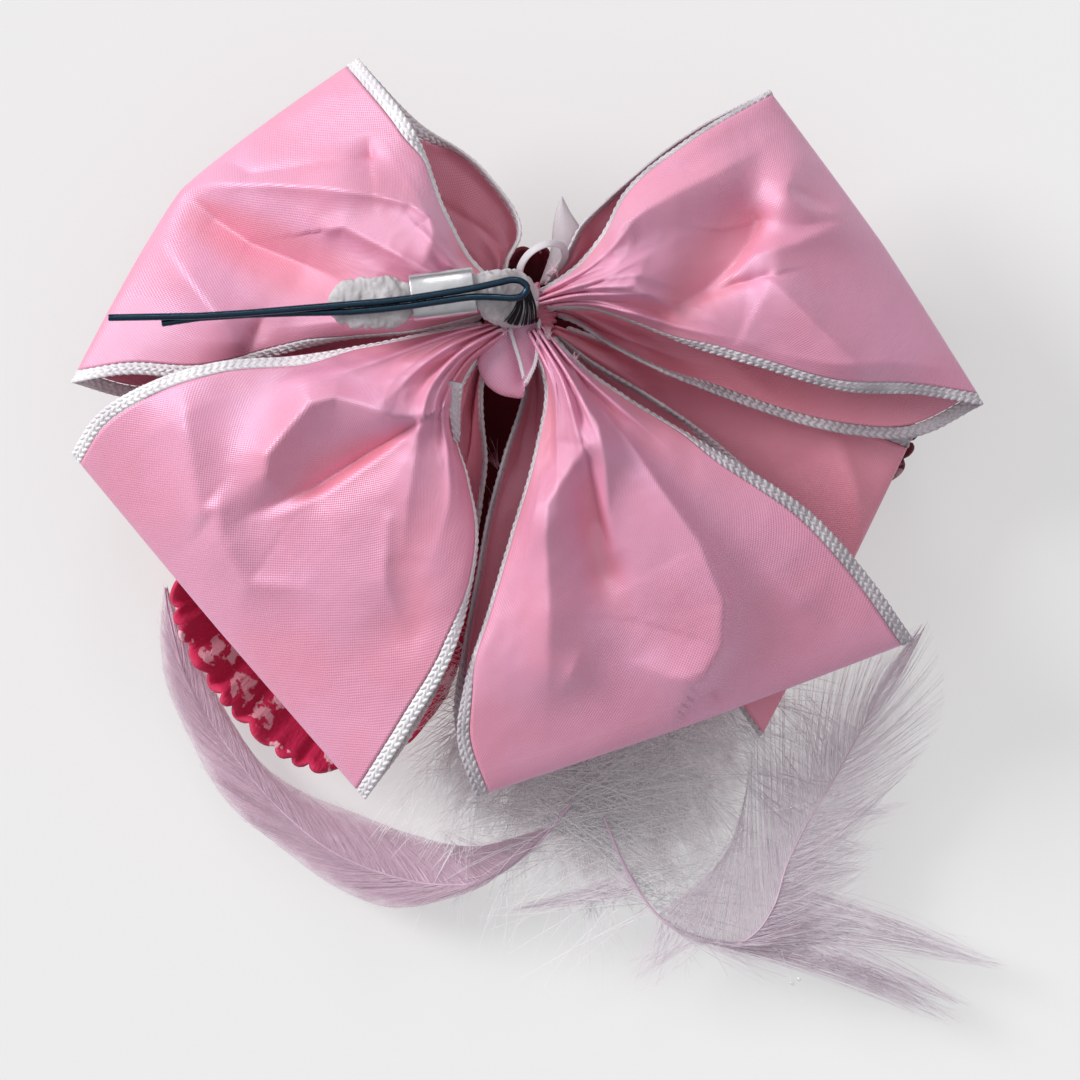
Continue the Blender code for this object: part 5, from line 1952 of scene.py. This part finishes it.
@dataclass
class Studio:
    """The floor, the lights and the camera straight above. A lamp has a name, direction, strength and spread."""

    reference: float = 0.035
    distance: float = 2.5
    frame_side: float = 1080 * STEP
    sky_low: tuple = (0.26, 0.25, 0.27, 1)
    sky_high: tuple = (1.16, 1.16, 1.19, 1)
    sky_strength: float = 0.42
    zenith: float = 0.55
    lamps: tuple = (("key", (-0.80, 0.40, 0.56), 2.65, 24.0), ("overhead", (0.05, 0.1, 1.0), 0.4, 60.0),
                    ("window", (0.0, 0.76, 0.65), 0.3, 13.0))

    def build(self) -> None:
        """Builds the studio."""
        floor = new_object("floor", np.array([(-2, -2, 0), (2, -2, 0), (2, 2, 0), (-2, 2, 0)], float), [(0, 1, 2, 3)])
        GROUND.dress(floor)
        world = bpy.data.worlds.new("soft room")
        world.use_nodes = True
        backdrop = world.node_tree.nodes["Background"]
        graph = Graph(world.node_tree)
        _, _, up = graph.parts(graph.add("ShaderNodeTexCoord").outputs["Generated"])
        sky = graph.blend(up.ramp(0.0, 0.8) - up.ramp(0.8, 1.0) * self.zenith, self.sky_low, self.sky_high)
        world.node_tree.links.new(sky, backdrop.inputs["Color"])
        backdrop.inputs["Strength"].default_value = self.sky_strength
        bpy.context.scene.world = world
        for lamp in self.lamps:
            self.sun(*lamp)
        camera = bpy.data.cameras.new("camera")
        camera.lens = 36.0 * self.distance / self.frame_side
        camera.clip_end = 20.0
        eye = bpy.data.objects.new("camera", camera)
        eye.location = (0.0, 0.0, self.reference + self.distance)
        bpy.context.scene.collection.objects.link(eye)
        bpy.context.scene.camera = eye
        bpy.context.scene.view_settings.view_transform = "Standard"

    def sun(self, name: str, toward: tuple, strength: float, spread: float) -> None:
        """Adds a broad distant light.

        Args:
            name: Its name.
            toward: The direction from the object to it.
            strength: Its irradiance.
            spread: Its angle in degrees.
        """
        light = bpy.data.lights.new(name, "SUN")
        light.energy = strength
        light.angle = math.radians(spread)
        light.color = (1.0, 0.985, 0.98)
        lamp = bpy.data.objects.new(name, light)
        lamp.rotation_euler = Vector(toward).to_track_quat("Z", "Y").to_euler()
        bpy.context.scene.collection.objects.link(lamp)


LEFT_FEATHER = Feather(
    name="feather_left",
    quill=[(161, 588, 5.6), (166, 622, 5.4), (180, 672, 5.2), (206, 722, 5.0), (238, 768, 5.0), (285, 820, 5.2),
           (330, 855, 6.0), (378, 876, 7.0), (432, 888, 8.0), (484, 884, 9.0), (525, 858, 10.0), (572, 806, 11.8)],
    outer=[(160, 589, 5.6), (156, 632, 5.2), (161, 681, 4.9), (186, 741, 4.8), (221, 802, 4.9), (279, 852, 5.3),
           (339, 894, 6.2), (385, 911, 7.0), (446, 903, 8.2), (490, 886, 9.2), (572, 808, 11.8)],
    inner=[(163, 588, 5.6), (172, 612, 5.3), (200, 670, 5.0), (229, 725, 4.9), (257, 765, 5.0), (296, 793, 5.3),
           (350, 815, 6.0), (411, 838, 7.0), (470, 850, 8.2), (505, 845, 9.2), (572, 804, 11.8)],
    locks=[Lock(0.42, 0.5, 203, 775, 5.0, 26, 2.0), Lock(0.5, 0.56, 236, 818, 5.2, 26, 2.0),
           Lock(0.62, 0.72, 345, 893, 6.2, 24, 2.0), Lock(0.8, 0.9, 440, 835, 8.6, 34, 4.0)],
    outer_lean=0.13, inner_lean=0.11, web_from=0.0, web_to=0.95, barbs=560, seed=21, web_finish=PINK_WEB,
    barb_finish=PINK_BARB, barb_radius=0.03 * MM,
)
RIGHT_FEATHER = Feather(
    name="feather_right",
    quill=[(922, 635, 10.6), (895, 675, 10.2), (860, 740, 9.6), (838, 780, 9.2), (808, 830, 8.8), (789, 870, 8.6),
           (775, 913, 8.4), (759, 936, 8.4), (745, 946, 8.4), (722, 948, 8.5), (699, 944, 8.7), (676, 933, 9.0),
           (656, 916, 9.4), (629, 876, 10.2), (604, 820, 11.4)],
    outer=[(925, 632, 10.5), (936, 680, 10.0), (937, 706, 9.7), (931, 734, 9.3), (916, 763, 9.0), (899, 784, 8.8),
           (877, 806, 8.6), (868, 845, 8.2), (862, 880, 8.0), (852, 925, 7.8), (800, 958, 7.8), (760, 985, 7.9),
           (700, 985, 8.0), (650, 962, 8.4), (612, 915, 9.6), (590, 860, 10.8)],
    inner=[(921, 634, 10.5), (870, 650, 10.3), (815, 678, 10.1), (780, 704, 9.8), (764, 736, 9.2), (752, 775, 8.8),
           (745, 812, 8.5), (738, 850, 8.3), (728, 880, 8.3), (712, 900, 8.4), (700, 900, 8.6), (690, 880, 9.0),
           (668, 840, 9.8), (640, 800, 11.0)],
    locks=[Lock(0.36, 0.5, 909, 806, 8.4, 40, 4.0), Lock(0.40, 0.54, 877, 849, 8.0, 50, 6.0),
           Lock(0.46, 0.56, 874, 872, 7.8, 46, 6.0), Lock(0.5, 0.62, 966, 954, 6.4, 70, 5.0),
           Lock(0.5, 0.64, 1012, 971, 5.8, 90, 3.5), Lock(0.54, 0.68, 975, 1012, 5.8, 80, 5.0),
           Lock(0.56, 0.7, 958, 1025, 5.6, 90, 4.5), Lock(0.58, 0.7, 930, 1008, 6.2, 60, 8.0),
           Lock(0.85, 0.9, 502, 916, 6.6, 60, 1.6), Lock(0.7, 0.8, 640, 985, 7.0, 60, 14.0),
           Lock(0.2, 0.34, 800, 690, 9.8, 40, 8.0), Lock(0.3, 0.44, 730, 760, 9.2, 50, 10.0)],
    outer_lean=0.17, inner_lean=0.16, web_from=0.02, web_to=0.8, barbs=400, seed=5, barb_radius=0.036 * MM,
    fray=0.17,
)
PETALS = [
    Petal("lower_left", 220.0, 31.0, 56.0, 11.0, 0.72, 0.0019),
    Petal("lower_right", 289.0, 30.0, 40.0, 5.0, 0.72, 0.0009, rows=28, columns=92),
    Petal("right", 13.0, 29.0, 53.0, 11.0, 0.66, 0.0016, finish=SHADED_CRIMSON),
    Petal("upper", 88.0, 33.0, 26.5, 15.0, 0.55, 0.0006, finish=SHADED_CRIMSON, rows=28, columns=92),
    Petal("upper_left", 155.0, 29.0, 45.0, 9.0, 0.66, 0.0012, finish=SHADED_CRIMSON, rows=28, columns=92),
]
STEM_ROWS = [
    (329, 301.0, 42.8, 0.8, 0.5), (334, 302.0, 42.8, 2.0, 1.1), (348, 303.5, 42.9, 3.1, 1.5),
    (375, 304.0, 43.0, 3.5, 1.7), (399, 301.5, 43.0, 3.2, 1.6), (407, 299.8, 43.0, 2.45, 1.0),
    (479, 291.4, 43.0, 2.45, 1.0), (488, 293.0, 42.2, 3.1, 1.7), (500, 297.0, 40.6, 3.8, 2.2),
    (514, 299.0, 38.8, 3.9, 2.5), (528, 299.0, 38.2, 3.2, 2.1), (538, 299.0, 37.8, 1.4, 1.2),
]
PIN_ROWS = [
    (110, 318.6, 0.0), (200, 317.0, 0.0), (250, 313.9, 0.0), (300, 309.6, 0.0), (350, 305.4, 0.0),
    (380, 303.0, 0.0), (411, 299.4, 0.0), (440, 294.8, 0.0), (475, 288.8, 0.0), (500, 283.4, 0.0),
    (513, 280.8, 0.0), (522, 282.6, 0.0), (527.4, 288.6, 0.0), (523, 296.2, 0.0), (513, 299.0, 0.0),
    (500, 298.4, 0.0), (475, 297.9, 0.0), (440, 302.4, 0.0), (411, 306.8, 0.0), (380, 310.4, -0.05),
    (350, 312.9, -0.15), (300, 313.7, -1.05), (250, 315.4, -1.1), (200, 318.6, -1.1), (163, 324.2, -0.85),
]
TAPE_ROWS = [(519, 279, 33.5), (521, 266, 35.0), (527, 256, 36.2), (538, 247.5, 36.8), (551, 243.5, 36.5),
             (562, 246.5, 35.0), (565, 254, 33.4), (560, 265, 31.8), (549, 275, 30.6)]
TAPE_EDGES = [[(561, 195), (554, 222), (551, 250), (540, 284)], [(561.5, 195), (570, 211), (580, 227), (560, 272)]]
TAB_LEFT = [(497, 326, 36.6), (486, 343, 36.4), (479, 362, 36.2), (485, 381, 36.0), (500, 393, 35.8), (519, 397, 35.6)]
TAB_RIGHT = [(540, 320, 36.8), (539, 340, 36.6), (537, 358, 36.4), (532, 374, 36.2), (526, 386, 36.0), (522, 397, 35.6)]
TAB_CORDS = [[(510, 329), (514, 342), (519, 358), (524, 378)], [(539, 321), (538, 342), (535, 364), (526, 384)]]
DOWN_LOCKS = [(237, 42), (244, 46), (252, 49), (261, 53), (271, 56), (281, 60), (292, 59), (303, 55), (315, 49),
              (327, 42)]
BEAD_SPOTS = [(838, 798, 11.0, 0.45), (794, 810, 10.6, 0.35), (744, 833, 10.4, 0.35), (795, 988, 7.4, 0.35),
              (802, 984, 7.4, 0.32)]
BEAD_THREADS = [[(700, 820, 9.6), (744, 833, 10.4), (790, 848, 9.0)],
                [(700, 816, 9.4), (794, 810, 10.6), (820, 803, 9.6)],
                [(824, 803, 10.4), (838, 798, 11.0), (866, 789, 9.4)],
                [(784, 955, 8.6), (795, 988, 7.4), (806, 1008, 6.8)]]
FRAYS = [
    Fray(474, 342, 38.2, 110, 14, 40, 26), Fray(449, 376, 37.8, 100, 9, 40, 16), Fray(548, 340, 38.6, 95, 13, 35, 30),
    Fray(574, 362, 38.4, 60, 9, 40, 12), Fray(556, 270, 37.0, 200, 10, 50, 14),
    Fray(505, 330, 39.4, 250, 8, 60, 10), Fray(500, 470, 15.0, 100, 34, 22, 12), Fray(494, 510, 15.0, 70, 26, 20, 10),
]
CURLS = [
    [(384, 363, 37.4), (402, 366, 37.6), (414, 366, 37.8), (420, 371, 37.9), (417, 378, 37.7)],
    [(590, 380, 38.6), (597, 386, 39.0), (596, 392, 39.0), (588, 394, 38.9), (590, 400, 38.5)],
    [(545, 352, 38.4), (541, 344, 38.8), (545, 336, 39.0), (551, 338, 38.8), (549, 346, 38.6)],
]
FLARES = [
    ([(454, 440, 38.0), (448, 405, 38.8), (444, 380, 39.4)], [(460, 438, 38.0), (461, 405, 38.8), (464, 384, 39.4)]),
]


def main() -> None:
    """Builds every piece in order."""
    logging.basicConfig(level=logging.INFO, format="%(message)s")
    pieces = [Studio(), UPPER_LEFT, LOWER_LEFT, LOWER_RIGHT, UPPER_RIGHT, REAR, Knot(),
              Tab(TAB_LEFT, TAB_RIGHT, TAB_CORDS), Stem(STEM_ROWS), Sleeve([(411.5, 298.8), (475.0, 291.0)]),
              Pin(PIN_ROWS, (7, 17)), Tapes(TAPE_ROWS, TAPE_EDGES), Flower(PETALS), LEFT_FEATHER, RIGHT_FEATHER,
              Down(DOWN_LOCKS, SHAFTS), Beads(BEAD_SPOTS, BEAD_THREADS), LooseThreads(FRAYS, CURLS, FLARES)]
    for piece in pieces:
        piece.build()
        LOG.info("built %s", type(piece).__name__)


if __name__ == "__main__":
    main()
